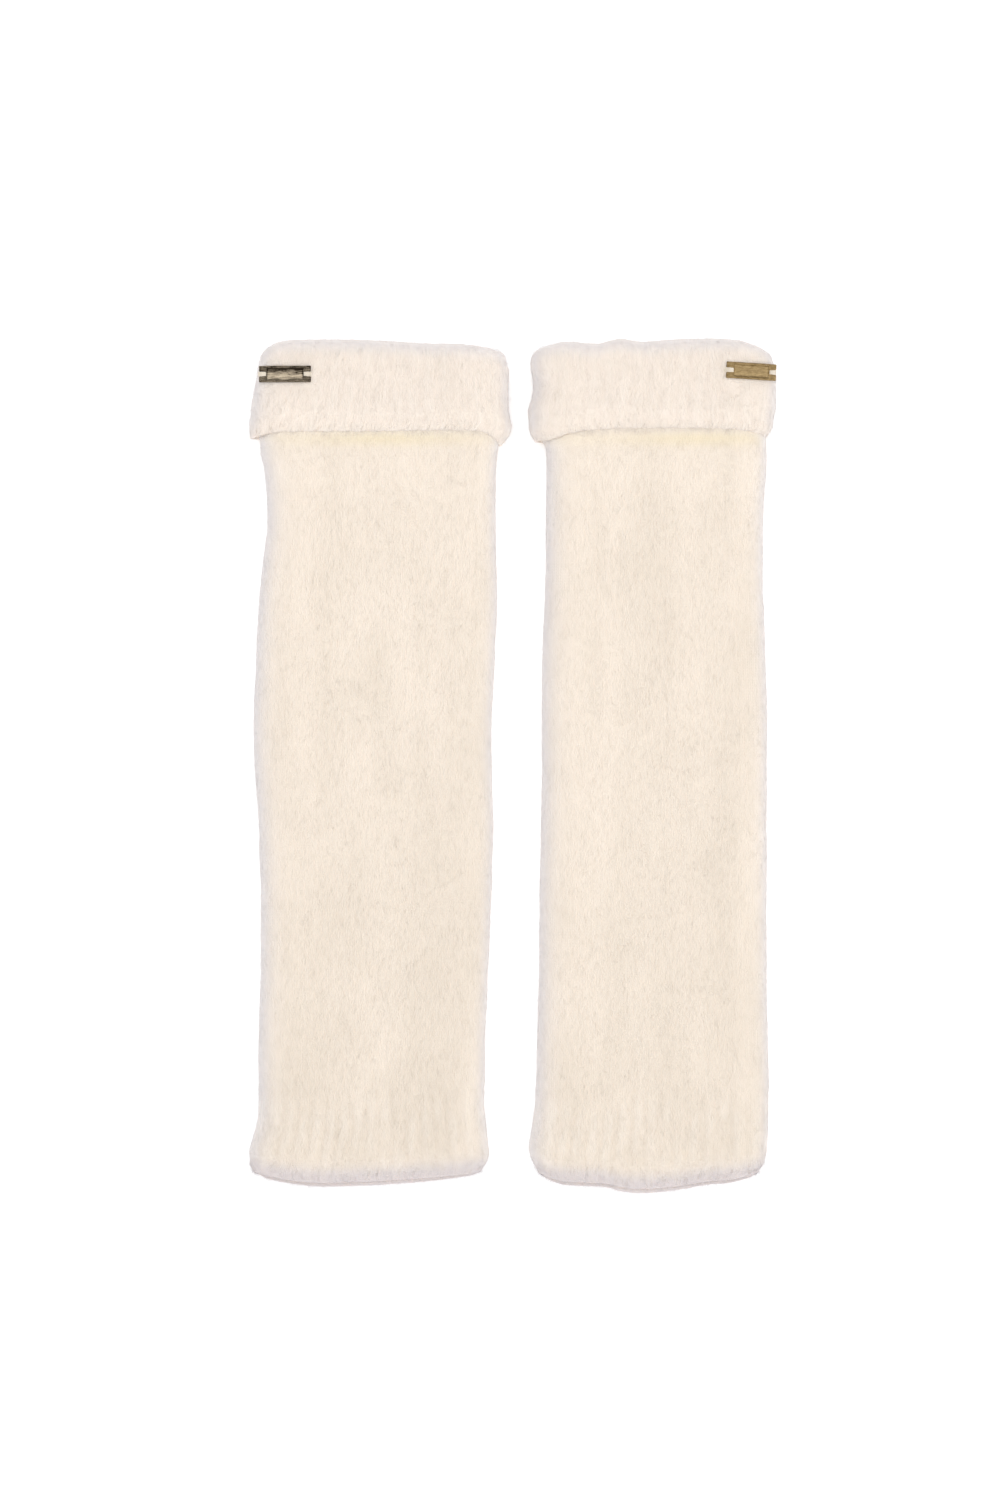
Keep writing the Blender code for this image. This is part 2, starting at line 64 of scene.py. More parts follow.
# Sections are rows of Y at the sides, outline left, outline right, extra height of the front.
# Edges are rows of share across, Y of the front panel, Y of the back panel.
# The nap's outline stands up to 1 mm outside the solid's, and more where a rim is pressed thin.
# Dents are rows of X, Y, half width, half length, turn in degrees, lift.
warmers = {
    "left": {
        "middle": -68.6,
        "rounds": (9.0, 9.0),
        "leg": [
            (172, -128.2, -4.9, 0.0), (166, -126.9, -6.4, 0.0), (160.5, -126.0, -7.6, 0.0),
            (156, -125.7, -8.4, 0.0), (148, -123.9, -9.0, 0.0), (133, -122.8, -9.3, 0.1),
            (118, -122.9, -9.2, 0.2), (88, -126.3, -8.5, 0.3), (58, -128.0, -9.5, 0.4),
            (13, -129.4, -11.3, 0.4), (-32, -126.9, -10.4, 0.4), (-62, -125.9, -11.3, 0.4),
            (-107, -126.0, -13.1, 0.4), (-137, -127.0, -14.5, 0.4), (-159.5, -126.9, -14.8, 0.5),
        ],
        "cuff": [
            (163, -134.2, -3.5, 0.0), (167, -133.4, -0.8, 0.0), (172, -131.2, -1.0, 0.0),
            (178, -130.2, -2.5, 0.0), (187, -128.9, -3.1, 0.0), (193, -127.9, -3.0, 0.0),
            (199, -126.9, -3.0, 0.0), (203, -126.6, -3.5, 0.0), (206.5, -125.9, -4.2, 0.0),
        ],
        "hem": [
            (-159.5, -126.9, -15.0, 0.5), (-172, -126.9, -15.0, 0.8), (-178, -127.4, -14.4, 1.1),
            (-184, -129.0, -13.7, 1.3), (-191, -131.2, -13.0, 1.3), (-197, -132.8, -11.6, 0.6),
            (-200, -134.3, -11.3, 0.1), (-202.5, -133.1, -13.1, -0.3),
        ],
        "fold": [
            (0.0, 206.2, 206.5), (0.024, 209.0, 210.0), (0.066, 210.5, 211.8), (0.15, 211.0, 212.4),
            (0.32, 211.1, 212.5), (0.5, 210.5, 211.9), (0.7, 209.2, 210.5), (0.83, 209.0, 210.3),
            (0.95, 207.5, 208.6), (1.0, 206.0, 206.6),
        ],
        "cuffRim": [
            (0.0, 164.0, 163.6), (0.05, 165.5, 163.4), (0.12, 166.6, 163.2), (0.5, 167.0, 163.0),
            (0.9, 167.2, 162.0), (0.96, 164.2, 160.8), (1.0, 160.2, 159.8),
        ],
        "hemRim": [
            (0.0, -202.0, -202.5), (0.027, -202.8, -203.7), (0.07, -204.4, -206.0),
            (0.2, -206.8, -208.7), (0.29, -207.6, -209.6), (0.43, -207.3, -209.3),
            (0.56, -206.7, -208.7), (0.78, -205.0, -206.8), (0.956, -202.8, -204.0),
            (1.0, -201.4, -202.2),
        ],
        "dents": [
            (-76, -88, 26, 34, 0, -0.8), (-58, 96, 18, 44, 0, 0.7), (-92, 30, 22, 36, 0, 0.5),
            (-34, -20, 16, 60, 0, 0.6), (-52, -128, 24, 20, 0, 0.5), (-114, 195.5, 9, 9, 0, -1.4),
        ],
        "creases": [
            (-96, 126, 5, 30, -9, -0.45), (-40, 132, 6, 24, 7, -0.4), (-70, 60, 7, 46, 3, -0.3),
            (-104, -20, 6, 40, -4, -0.35), (-48, -64, 6, 34, 6, -0.35), (-88, -122, 5, 22, -8, -0.35),
            (-116, 88, 4, 20, 4, -0.4), (-22, 40, 4, 30, -3, -0.35), (-64, -30, 24, 5, 12, -0.2),
            (-92, 150, 22, 4, -6, -0.25), (-34, 152, 16, 4, 9, -0.25), (-112, -150, 4, 14, 10, -0.3),
        ],
        "plate": {"node": "left_metal_plate", "turn": 0.0, "tilt": -4.0},
    },
    "right": {
        "middle": 70.0,
        "rounds": (9.0, 15.0),
        "leg": [
            (172, 11.3, 125.3, 0.0), (165, 14.2, 125.8, 0.0), (158, 17.0, 126.4, 0.0),
            (148, 17.3, 126.3, 0.0), (133, 17.2, 125.1, 0.1), (103, 16.9, 124.6, 0.2),
            (58, 15.3, 125.7, 0.4), (28, 14.8, 126.7, 0.4), (-17, 15.0, 126.6, 0.4),
            (-62, 13.8, 126.5, 0.4), (-107, 13.4, 126.6, 0.4), (-137, 12.6, 127.1, 0.4),
            (-159.5, 12.0, 127.9, 0.5),
        ],
        "cuff": [
            (163, 8.5, 128.7, 0.0), (167, 7.0, 130.6, 0.0), (172, 8.4, 129.8, 0.0),
            (178, 8.3, 130.7, 0.0), (184, 10.1, 130.8, 0.0), (190, 10.6, 131.0, 0.0),
            (196, 9.8, 131.0, 0.0), (202, 9.4, 130.4, 0.0), (206, 9.5, 129.3, 0.0),
        ],
        "hem": [
            (-159.5, 12.0, 127.9, 0.5), (-172, 11.4, 127.4, 0.8), (-178, 10.5, 127.4, 1.1),
            (-184, 9.7, 127.2, 1.3), (-190, 8.5, 126.5, 1.3), (-196, 8.7, 126.8, 0.7),
            (-200, 8.4, 127.5, 0.1), (-202.8, 9.9, 125.6, -0.3),
        ],
        "fold": [
            (0.0, 205.7, 206.0), (0.02, 207.9, 208.6), (0.06, 208.8, 210.0), (0.12, 210.0, 211.4),
            (0.26, 209.1, 210.5), (0.36, 211.5, 212.9), (0.45, 210.0, 211.4), (0.58, 211.0, 212.4),
            (0.68, 211.5, 212.9), (0.87, 211.0, 212.4), (0.96, 208.4, 209.4), (1.0, 205.6, 206.0),
        ],
        "cuffRim": [
            (0.0, 162.8, 162.0), (0.06, 162.8, 161.4), (0.15, 166.0, 162.6), (0.3, 168.2, 163.6),
            (0.5, 168.8, 164.0), (0.8, 168.4, 163.8), (0.93, 166.8, 163.6), (1.0, 164.2, 163.4),
        ],
        "hemRim": [
            (0.0, -202.2, -202.8), (0.04, -204.4, -205.8), (0.086, -206.2, -207.9),
            (0.13, -207.0, -208.9), (0.22, -207.4, -209.4), (0.31, -208.0, -210.0),
            (0.38, -209.8, -212.0), (0.46, -210.6, -212.8), (0.59, -209.8, -211.9),
            (0.78, -206.8, -208.6), (0.87, -206.0, -207.8), (0.96, -203.8, -205.2),
            (1.0, -202.2, -203.0),
        ],
        "dents": [
            (72, -20, 14, 80, 0, -0.8), (44, 20, 20, 90, 0, 0.6), (98, 60, 18, 40, 0, 0.6),
            (100, -60, 20, 44, 0, 0.5), (60, 126, 26, 18, 0, 0.6), (116, 197, 9, 9, 0, -1.6),
        ],
        "creases": [
            (38, 122, 5, 26, 8, -0.4), (96, 134, 6, 22, -7, -0.45), (70, 70, 6, 50, -2, -0.35),
            (110, -16, 6, 44, 4, -0.35), (30, -40, 5, 40, -4, -0.3), (86, -104, 6, 30, 6, -0.35),
            (48, -124, 5, 24, -6, -0.35), (116, 92, 4, 26, 3, -0.35), (62, 8, 22, 5, -10, -0.2),
            (44, 152, 20, 4, 7, -0.25), (104, 150, 14, 4, -8, -0.25), (24, 60, 4, 26, 5, -0.35),
        ],
        "plate": {"node": "right_metal_plate", "turn": -2.6, "tilt": 16.0},
    },
}


def readRows(rows, at, column):
    # A cubic between each two rows, with the slope at a row taken from the rows on both sides of it
    rows = np.array(sorted(rows), float)
    keys, values = rows[:, 0], rows[:, column]
    at = np.clip(at, keys[0], keys[-1])
    k = np.arange(len(keys))
    before, after = np.maximum(k - 1, 0), np.minimum(k + 1, len(keys) - 1)
    slopes = (values[after] - values[before]) / (keys[after] - keys[before])
    i = np.clip(np.searchsorted(keys, at, side="right") - 1, 0, len(keys) - 2)
    length = keys[i + 1] - keys[i]
    t = (at - keys[i]) / length
    return (
        values[i] * (1 + 2 * t) * (1 - t) ** 2 + values[i + 1] * t * t * (3 - 2 * t)
        + slopes[i] * length * t * (1 - t) ** 2 - slopes[i + 1] * length * t * t * (1 - t)
    )


def ease(share):
    share = np.clip(share, 0, 1)
    return share * share * (3 - 2 * share)


def softNoise(x, y, size, seed):
    # Random heights on a square lattice, eased between its points; about -1 to 1
    cells = 64
    lattice = np.random.default_rng(seed).uniform(-1, 1, (cells, cells))
    u, v = x / size, y / size
    i, j = np.floor(u).astype(int), np.floor(v).astype(int)
    s, t = ease(u - i), ease(v - j)
    at = lambda a, b: lattice[a % cells, b % cells]
    near = at(i, j) * (1 - s) + at(i + 1, j) * s
    far = at(i, j + 1) * (1 - s) + at(i + 1, j + 1) * s
    return near * (1 - t) + far * t


def dentLift(rows, x, y):
    # Sum of soft bells, each longer one way and turned; a negative lift is a hollow
    lift = 0.0
    for cx, cy, halfWidth, halfLength, turn, height in rows:
        c, s = math.cos(math.radians(turn)), math.sin(math.radians(turn))
        u, v = (x - cx) * c + (y - cy) * s, (y - cy) * c - (x - cx) * s
        lift = lift + height * np.exp(-((u / halfWidth) ** 2) - (v / halfLength) ** 2)
    return lift


panelLift = {"even": 0.35, "ridge": 1.3, "ridgeAt": 44.0, "ridgeSpread": 13.0}


def frontLift(warmer, x, y):
    # The even lift, a ridge along each side, and the dents, never below the flat panel
    off = x - warmer["middle"]
    at, spread = panelLift["ridgeAt"], panelLift["ridgeSpread"]
    ridges = sum(np.exp(-(((off + side * at) / spread) ** 2)) for side in (-1, 1))
    return np.maximum(0.0, panelLift["even"] + panelLift["ridge"] * ridges + dentLift(warmer["dents"], x, y))


# The brushed nap's own thickness, a rim pressed thinner, nap banked up on the leg against the cuff's rim, and
# nap pressed flat where the cuff covers it
nap = {
    "body": 0.5, "fold": 0.7, "thinning": 2.9, "thinFrom": 1.0, "thinLength": 9.0,
    "bank": 1.5, "bankReach": 4.2, "bankUnder": 1.0, "coveredFrom": 6.0, "coveredOver": 8.0,
}


def surfaceDepth(tube, y):
    # Depth of the cloth's outer face inside the solid's: below nothing by the nap's body, and more near a rim
    depth = np.full_like(y, -nap["body"], dtype=float)
    if tube["edgeFrom"]:
        fromRim = y - tube["first"] - nap["thinFrom"]
        depth = depth + nap["thinning"] * ease(1 - fromRim / nap["thinLength"])
    elif tube["middle"] is legMiddle:
        depth = depth + nap["body"] * ease((y - stepTop - nap["coveredFrom"]) / nap["coveredOver"])
    return depth


def shareAcross(rows, x, y):
    # Where X lies between the outlines at Y: 0 at the left one, 1 at the right one
    left, right = readRows(rows, y, 1), readRows(rows, y, 2)
    return np.clip((x - left) / (right - left), 0, 1)


def napBank(tube, x, place):
    # Half a bell in front of the rim and a short one under it, exp(-(d / reach)^2) by the distance d to it
    across = shareAcross(tube["sections"], x, np.clip(place, tube["first"], tube["last"]))
    before = readRows(tube["warmer"]["cuffRim"], across, 1) - place
    reach = np.where(before > 0, nap["bankReach"], nap["bankUnder"])
    return nap["bank"] * np.exp(-((before / reach) ** 2))


def makeTube(warmer, sections, height, outset=0.0, middle=None, edgeFrom=None, edgeTo=None, rimNap=0.0):
    ys = [row[0] for row in sections]
    tube = {
        "warmer": warmer, "sections": sections, "panel": height, "middle": middle or (lambda y: height),
        "edgeFrom": edgeFrom, "edgeTo": edgeTo, "first": min(ys), "last": max(ys),
        "frontRounds": [reach + outset for reach in warmer["rounds"]],
        "backRounds": [backRound + outset] * 2,
    }
    halfway = (tube["first"] + tube["last"]) / 2
    width = readRows(sections, halfway, 2) - readRows(sections, halfway, 1)
    tube["nose"] = (wall - surfaceDepth(tube, tube["first"])) / 2
    tube["rimAt"] = tube["first"] + tube["nose"] - rimNap
    for side in ("front", "back"):
        rounds = tube[side + "Rounds"]
        arcs = [math.pi / 2 * math.hypot(reach, height) / math.sqrt(2) for reach in rounds]
        tube[side + "Folds"] = [arc / (sum(arcs) + width - sum(rounds)) for arc in arcs]
    return tube


def legMiddle(y):
    return panel + cuffOutset * ease((y - stepTop + stepLength) / stepLength)


def lengthPlace(tube, across, y, frontShare):
    # Y on the cloth: rings run straight at one end of the piece and follow its shaped edge at the other
    def edge(rows, straight):
        if rows is None:
            return straight
        back, front = readRows(rows, across, 2), readRows(rows, across, 1)
        return back + (front - back) * frontShare

    start, end = edge(tube["edgeFrom"], tube["first"]), edge(tube["edgeTo"], tube["last"])
    return start + (end - start) * (y - tube["first"]) / (tube["last"] - tube["first"])


def tubePoints(tube, share, y, inset=0.0, beyond=0.0):
    # Round the flattened tube: shares 0 to 0.5 cross the front from left to right, the rest come back under
    # it. Each side fold is a quarter ellipse, and between the two the panel is straight. Returns points and
    # outward directions, with X, Y, Z last, and how far each point faces the front, -1 to 1.
    share, y, inset, beyond = np.broadcast_arrays(share % 1.0, y, inset, beyond)
    left, right = readRows(tube["sections"], y, 1) + inset, readRows(tube["sections"], y, 2) - inset
    front = share < 0.5
    along = np.where(front, share * 2, 2 - share * 2)
    pick = lambda name, side: np.where(front, tube["front" + name][side], tube["back" + name][side])
    foldLeft, foldRight = pick("Folds", 0), pick("Folds", 1)
    roundLeft, roundRight = pick("Rounds", 0) - inset, pick("Rounds", 1) - inset
    onLeft, onRight = along < foldLeft, along > 1 - foldRight
    onFold = np.where(onLeft, along / foldLeft, np.where(onRight, (1 - along) / foldRight, 1.0))
    angle = math.pi / 2 * onFold
    straight = (along - foldLeft) / (1 - foldLeft - foldRight)
    flat = left + roundLeft + (right - roundRight - left - roundLeft) * straight
    x = np.where(onLeft, left + roundLeft * (1 - np.cos(angle)), flat)
    x = np.where(onRight, right - roundRight * (1 - np.cos(angle)), x)
    facing = np.where(front, 1, -1) * np.sin(angle)
    place = lengthPlace(tube, (x - left) / (right - left), y, (1 + facing) / 2) + beyond
    lift = readRows(tube["sections"], y, 3) + frontLift(tube["warmer"], x, place)
    height = tube["panel"] - inset + np.where(front, lift, 0.0)
    z = tube["middle"](place) + height * facing
    side = np.where(onLeft, -1.0, np.where(onRight, 1.0, 0.0))
    reach = np.where(onLeft, roundLeft, np.where(onRight, roundRight, 1.0))
    outward = np.stack([side * height * np.cos(angle), np.zeros_like(x), reach * facing], -1)
    outward /= np.linalg.norm(outward, axis=-1, keepdims=True) + 1e-9
    return np.stack([x, place, z], -1), outward, facing


# The thread draws the cloth up under the plate, and this shows a little way round it
plateBed = {"clear": 0.1, "most": 2.4, "within": 1.0, "reach": 6.0}


def plateLift(tube, points):
    # The height missing below the plate's underside, times a share that eases away past the plate's edge
    look, bed, place, centre = plateLook, plateBed, tube["warmer"]["plate"], tube["plateAt"]
    turn, tilt = math.radians(place["turn"]), math.radians(place["tilt"])
    dx, dy = points[..., 0] - centre[0], points[..., 1] - centre[1]
    u, v = dx * math.cos(turn) + dy * math.sin(turn), dy * math.cos(turn) - dx * math.sin(turn)
    under = centre[2] - u * math.tan(tilt) - look["thickness"] / 2 / math.cos(tilt)
    missing = np.clip(under - bed["clear"] - points[..., 2], -bed["most"], bed["most"])
    pastEnd = np.maximum(np.abs(u) - look["length"] / 2 + bed["within"], 0)
    pastSide = np.maximum(np.abs(v) - look["width"] / 2, 0)
    return missing * ease(1 - np.hypot(pastEnd, pastSide) / bed["reach"])


# Ribs wander sideways and differ in height, both by soft noise along them
ribs = {
    "count": 17, "cuffHeight": 0.36, "hemHeight": 0.45,
    "wander": 0.045, "wanderSize": 1.7, "wanderLength": 5, "wanderSeed": 5,
    "unevenness": 0.45, "unevenSpacing": 7.3, "unevenLength": 9, "unevenSeed": 11,
    "crestPower": 4, "crestGrowth": 2,
}


def ribForm(share, y, height):
    # The sine of half a turn for each rib, without its sign
    look = ribs
    t = share * 2 * look["count"]
    t = t + look["wander"] * softNoise(t, y / look["wanderLength"], look["wanderSize"], look["wanderSeed"])
    at = np.floor(t) * look["unevenSpacing"]
    uneven = 1 + look["unevenness"] * softNoise(at, y / look["unevenLength"], 1.0, look["unevenSeed"])
    return height * uneven * np.abs(np.sin(math.pi * t))


def crestHighlightShare(form, ribHeight):
    # The painted highlight on a rib's crest: its form raised to a power, and less of it on a low rib
    return np.clip(form, 0, 1) ** ribs["crestPower"] * min(1.0, ribHeight * ribs["crestGrowth"])


facingFade = {"under": 0.85, "front": 1.4}


def onTop(facing):
    # 1 on the front and round the side folds, eased to 0 towards the underside, which lies on the floor
    return 1 - ease(-facing / facingFade["under"])


clothWaves = [(0.1, 5.5, 3), (0.24, 15, 4)]  # height, size and seed of the cloth's own softness
waveShift = 300  # moves the whole pair on to the lattice's positive side


def outerSurface(tube, share, y, ribHeight=0.0, waleHeight=0.0, inset=0.0, beyond=0.0):
    # The solid's outer face with ribs or wales, creases and the cloth's own softness laid on it
    points, outward, facing = tubePoints(tube, share, y, inset, beyond)
    x, place = points[..., 0], points[..., 1]
    frontal = ease(facing * facingFade["front"])
    relief = ribForm(share % 1.0, place, 1.0) * ribHeight
    relief = relief + waleHeight * np.cos(2 * math.pi * stitchesAcross * 2 * share)
    for height, size, seed in clothWaves:
        relief = relief + height * softNoise(x + waveShift, place + waveShift, size, seed)
    relief = relief * onTop(facing) + dentLift(tube["warmer"]["creases"], x, place) * frontal
    outermost = frontal * (np.asarray(inset) <= 0)
    if tube["middle"] is legMiddle:
        relief = relief + napBank(tube, x, place) * outermost
    points = points + outward * relief[..., None]
    if "plateAt" in tube:
        points[..., 2] += plateLift(tube, points) * outermost
    points[..., 2] = np.maximum(points[..., 2], clothRest)
    return points, outward, facing


def meshFrom(name, points, faces, material):
    # points is (n, 3) in millimetres, faces is (m, 3) or (m, 4) corner numbers
    mesh = bpy.data.meshes.new(name)
    points = points.reshape(-1, 3) + np.array([*centring, 0.0])
    mesh.vertices.add(len(points))
    mesh.vertices.foreach_set("co", (points * mm).astype(np.float32).ravel())
    corners = faces.shape[1]
    mesh.loops.add(faces.size)
    mesh.loops.foreach_set("vertex_index", faces.astype(np.int32).ravel())
    mesh.polygons.add(len(faces))
    mesh.polygons.foreach_set("loop_start", np.arange(0, faces.size, corners, dtype=np.int32))
    mesh.update(calc_edges=True)
    mesh.shade_smooth()
    mesh.materials.append(material)
    piece = bpy.data.objects.new(name, mesh)
    bpy.context.scene.collection.objects.link(piece)
    return piece


def wrapFaces(rings, around):
    # Quads of a grid whose rows and columns both close on themselves
    i, j = np.meshgrid(np.arange(rings), np.arange(around), indexing="ij")
    i2, j2 = (i + 1) % rings, (j + 1) % around
    return np.stack([i * around + j, i * around + j2, i2 * around + j2, i2 * around + j], -1).reshape(-1, 4)


def signedVolume(mesh):
    bm = bmesh.new()
    bm.from_mesh(mesh)
    volume = bm.calc_volume(signed=True)
    bm.free()
    return volume


def writeValues(piece, name, values):
    made = piece.data.attributes.new(name, "FLOAT", "POINT")
    made.data.foreach_set("value", values.astype(np.float32).ravel())


def writeUv(piece, name, perCorner):
    layer = piece.data.uv_layers.new(name=name)
    layer.data.foreach_set("uv", perCorner.astype(np.float32).ravel())


def cornerPoints(piece):
    # The number of the point at each face corner
    corners = np.empty(len(piece.data.loops), np.int32)
    piece.data.loops.foreach_get("vertex_index", corners)
    return corners


upLeg = np.array([0.0, 1.0, 0.0])
# Painted cool shade where the cloth rounds away at both sides, at the fold and at the rims
outlineShades = {  # reach, fall, strength
    "left": (5.4, 1.4, 1.0), "right": (3.2, 1.4, 0.8), "fold": (4.6, 2.0, 0.8), "rim": (4.8, 1.8, 1.0),
}
# Painted warm shadow on the leg just under the turned cuff's rim
underCuffShadow = {"at": 163.6, "spread": 3.6, "middles": (-64, 93), "width": 34, "elsewhere": 0.3}
# Painted shade at the hem's rim, where the cloth rounds under
hemRimShade = {"reach": 7.8, "fall": 2.5, "outlineAt": -195.0}


def paintedOutlineShade(tube, points, y):
    # Painted cool shade, strongest at the outline seen from above and 0 a few millimetres in: one less the
    # product of
    # 1 - strength * exp(-(d / reach)^fall) over the distances d to both sides, and to a fold or a rim
    x, place = points[..., 0], points[..., 1]
    rows = tube["sections"]
    across = shareAcross(rows, x, y)
    distances = [("left", x - readRows(rows, y, 1)), ("right", readRows(rows, y, 2) - x)]
    if tube["edgeTo"]:
        distances.append(("fold", lengthPlace(tube, across, tube["last"], 1.0) + foldRadius - place))
    elif tube["edgeFrom"]:
        distances.append(("rim", place - lengthPlace(tube, across, tube["first"], 0.0)))
    clear = 1.0
    for name, distance in distances:
        reach, fall, strength = outlineShades[name]
        clear = clear * (1 - strength * np.exp(-((np.maximum(distance, 0) / reach) ** fall)))
    return 1 - clear


def lengthShade(tube, points):
    # Above nothing in the painted warm shadow under the turned cuff, a bell along the leg, stronger mid-way
    # across.
    # Below nothing in the painted shade at the hem's rim: -exp(-(d / reach)^fall) by the distance d to it.
    x, place = points[..., 0], points[..., 1]
    if tube["edgeTo"]:
        return np.zeros(len(points))
    if tube["edgeFrom"]:
        across = shareAcross(tube["sections"], x, np.full_like(x, hemRimShade["outlineAt"]))
        distance = np.maximum(place - readRows(tube["edgeFrom"], across, 2), 0)
        return -np.exp(-((distance / hemRimShade["reach"]) ** hemRimShade["fall"]))
    across = sum(np.exp(-(((x - middle) / underCuffShadow["width"]) ** 2)) for middle in underCuffShadow["middles"])
    strength = underCuffShadow["elsewhere"] + (1 - underCuffShadow["elsewhere"]) * across
    return strength * np.exp(-(((place - underCuffShadow["at"]) / underCuffShadow["spread"]) ** 2))


# The painted outline shade and the painted shade along the leg, at these points
def paintedShadesAt(tube, points, y):
    return paintedOutlineShade(tube, points, y), lengthShade(tube, points)


farthestTurn = {"fold": 2.6, "rim": 2.4}  # how far fibres follow the cloth round an edge, in radians


def clothAt(tube, share, t, ribHeight=0.0, waleHeight=0.0):
    # The outer face by a length t along the cloth. Past the fold it goes on round the fold's half circle,
    # and before the rim round the rim's. Returns points, outward directions and facing.
    first = tube["rimAt"] if tube["edgeFrom"] else -math.inf
    foldRound = foldRadius + nap["body"]
    up = np.clip((t - tube["last"]) / foldRound, 0, farthestTurn["fold"]) * (tube["edgeTo"] is not None)
    down = np.clip((first - t) / tube["nose"], 0, farthestTurn["rim"])
    turn, onFold = up + down, up > 0
    radius, way = np.where(onFold, foldRound, tube["nose"]), np.where(onFold, 1.0, -1.0)
    y = np.clip(t, first, tube["last"])
    depth = surfaceDepth(tube, y) + radius * (1 - np.cos(turn))
    beyond = way * radius * np.sin(turn)
    points, outward, facing = outerSurface(tube, share, y, ribHeight, waleHeight, depth, beyond)
    outward = outward * np.cos(turn)[:, None] + upLeg * (way * np.sin(turn))[:, None]
    return points, outward, facing


def knittedPiece(name, rings, share, material):
    # Each ring is points, painted rib-crest highlight, course, painted outline shade and painted shade along
    # the leg. The rings close into one wall, and its UVs count wales round the tube and courses along it.
    around = len(share)
    piece = meshFrom(name, np.stack([ring[0] for ring in rings]), wrapFaces(len(rings), around), material)
    corners = cornerPoints(piece)
    column = corners % around
    atSeam = np.repeat(np.ptp(column.reshape(-1, 4), axis=1) > 1, 4) & (column == 0)
    wales = (share[column] + atSeam) * 2 * stitchesAcross
    courses = np.stack([np.broadcast_to(ring[2], share.shape) for ring in rings]).ravel()[corners]
    writeUv(piece, "stitches", np.stack([wales, courses], -1))
    # The painted rib-crest highlight, the painted outline shade and the painted shade under the cuff and at the
    # hem's rim
    for attribute, k in (("crest", 1), ("edge", 3), ("glow", 4)):
        writeValues(piece, attribute, np.stack([ring[k] for ring in rings]))
    if signedVolume(piece.data) < 0:
        piece.data.flip_normals()
    return piece


def plainRing(tube, share, y, ribHeight=0.0, waleHeight=0.0, inset=None, level=False):
    y = np.full_like(share, y)
    depth = surfaceDepth(tube, y) if inset is None else inset
    points, outward, facing = outerSurface(tube, share, y, ribHeight, waleHeight, depth)
    if level:
        points[..., 1] = y
    crest = crestHighlightShare(ribForm(share, points[..., 1], 1.0), ribHeight) * onTop(facing)
    return points, crest, points[..., 1] / courseHeight, *paintedShadesAt(tube, points, y)


def turnedRing(tube, share, y, centre, radius, degrees, ribHeight=0.0):
    # A ring on a rounded edge: a circle whose middle lies this far inside the outer face, at Y of the ring.
    # 0 degrees is the outside, 90 the end of the cloth, 180 the inside; a negative radius turns down the leg.
    turn, ys = math.radians(degrees), np.full_like(share, y)
    outside = max(0.0, math.cos(turn))
    rib = ribForm(share, ys, 1.0) * ribHeight * max(0.0, math.cos(turn / 2)) ** 2
    beyond = (abs(radius) + rib * math.sin(turn) ** 2) * math.sin(turn) * (1 if radius > 0 else -1)
    depth = centre - abs(radius) * math.cos(turn)
    points, outward, facing = outerSurface(tube, share, ys, ribHeight * outside, inset=depth, beyond=beyond)
    crest = crestHighlightShare(rib / max(ribHeight, 1e-6), ribHeight) * outside
    return points, crest, (y + beyond) / courseHeight, *paintedShadesAt(tube, points, y)


rimDegrees = (20, 40, 65, 90, 120, 150)


def rimRings(tube, share, degrees, ribHeight):
    # The rim's round edge, between the outer face and the inner one
    centre = surfaceDepth(tube, tube["first"]) + tube["nose"]
    return [turnedRing(tube, share, tube["rimAt"], centre, -tube["nose"], a, ribHeight) for a in degrees]


def steps(start, end, size):
    return np.linspace(start, end, max(2, int(abs(end - start) / size) + 1))


class Socket:
    # A shader socket that can stand in an ordinary sum: each sign adds a Math node
    def __init__(self, shader, out):
        self.shader, self.out = shader, out

    def maths(self, operation, *others):
        return self.shader.node("ShaderNodeMath", {"operation": operation}, dict(enumerate(others)))

    def __add__(self, other):
        return self.maths("ADD", self, other)

    def __radd__(self, other):
        return self.maths("ADD", other, self)

    def __sub__(self, other):
        return self.maths("SUBTRACT", self, other)

    def __rsub__(self, other):
        return self.maths("SUBTRACT", other, self)

    def __mul__(self, other):
        return self.maths("MULTIPLY", self, other)

    def __rmul__(self, other):
        return self.maths("MULTIPLY", other, self)

    def __abs__(self):
        return self.maths("ABSOLUTE", self)

    def fract(self):
        return self.maths("FRACT", self)

    def wave(self):
        # One sine for each whole number, between 0 and 1
        return (self * (2 * math.pi)).sine() * 0.5 + 0.5

    def sine(self):
        return self.maths("SINE", self)

    def clamp(self):
        return self.shader.node("ShaderNodeClamp", {}, {0: self})


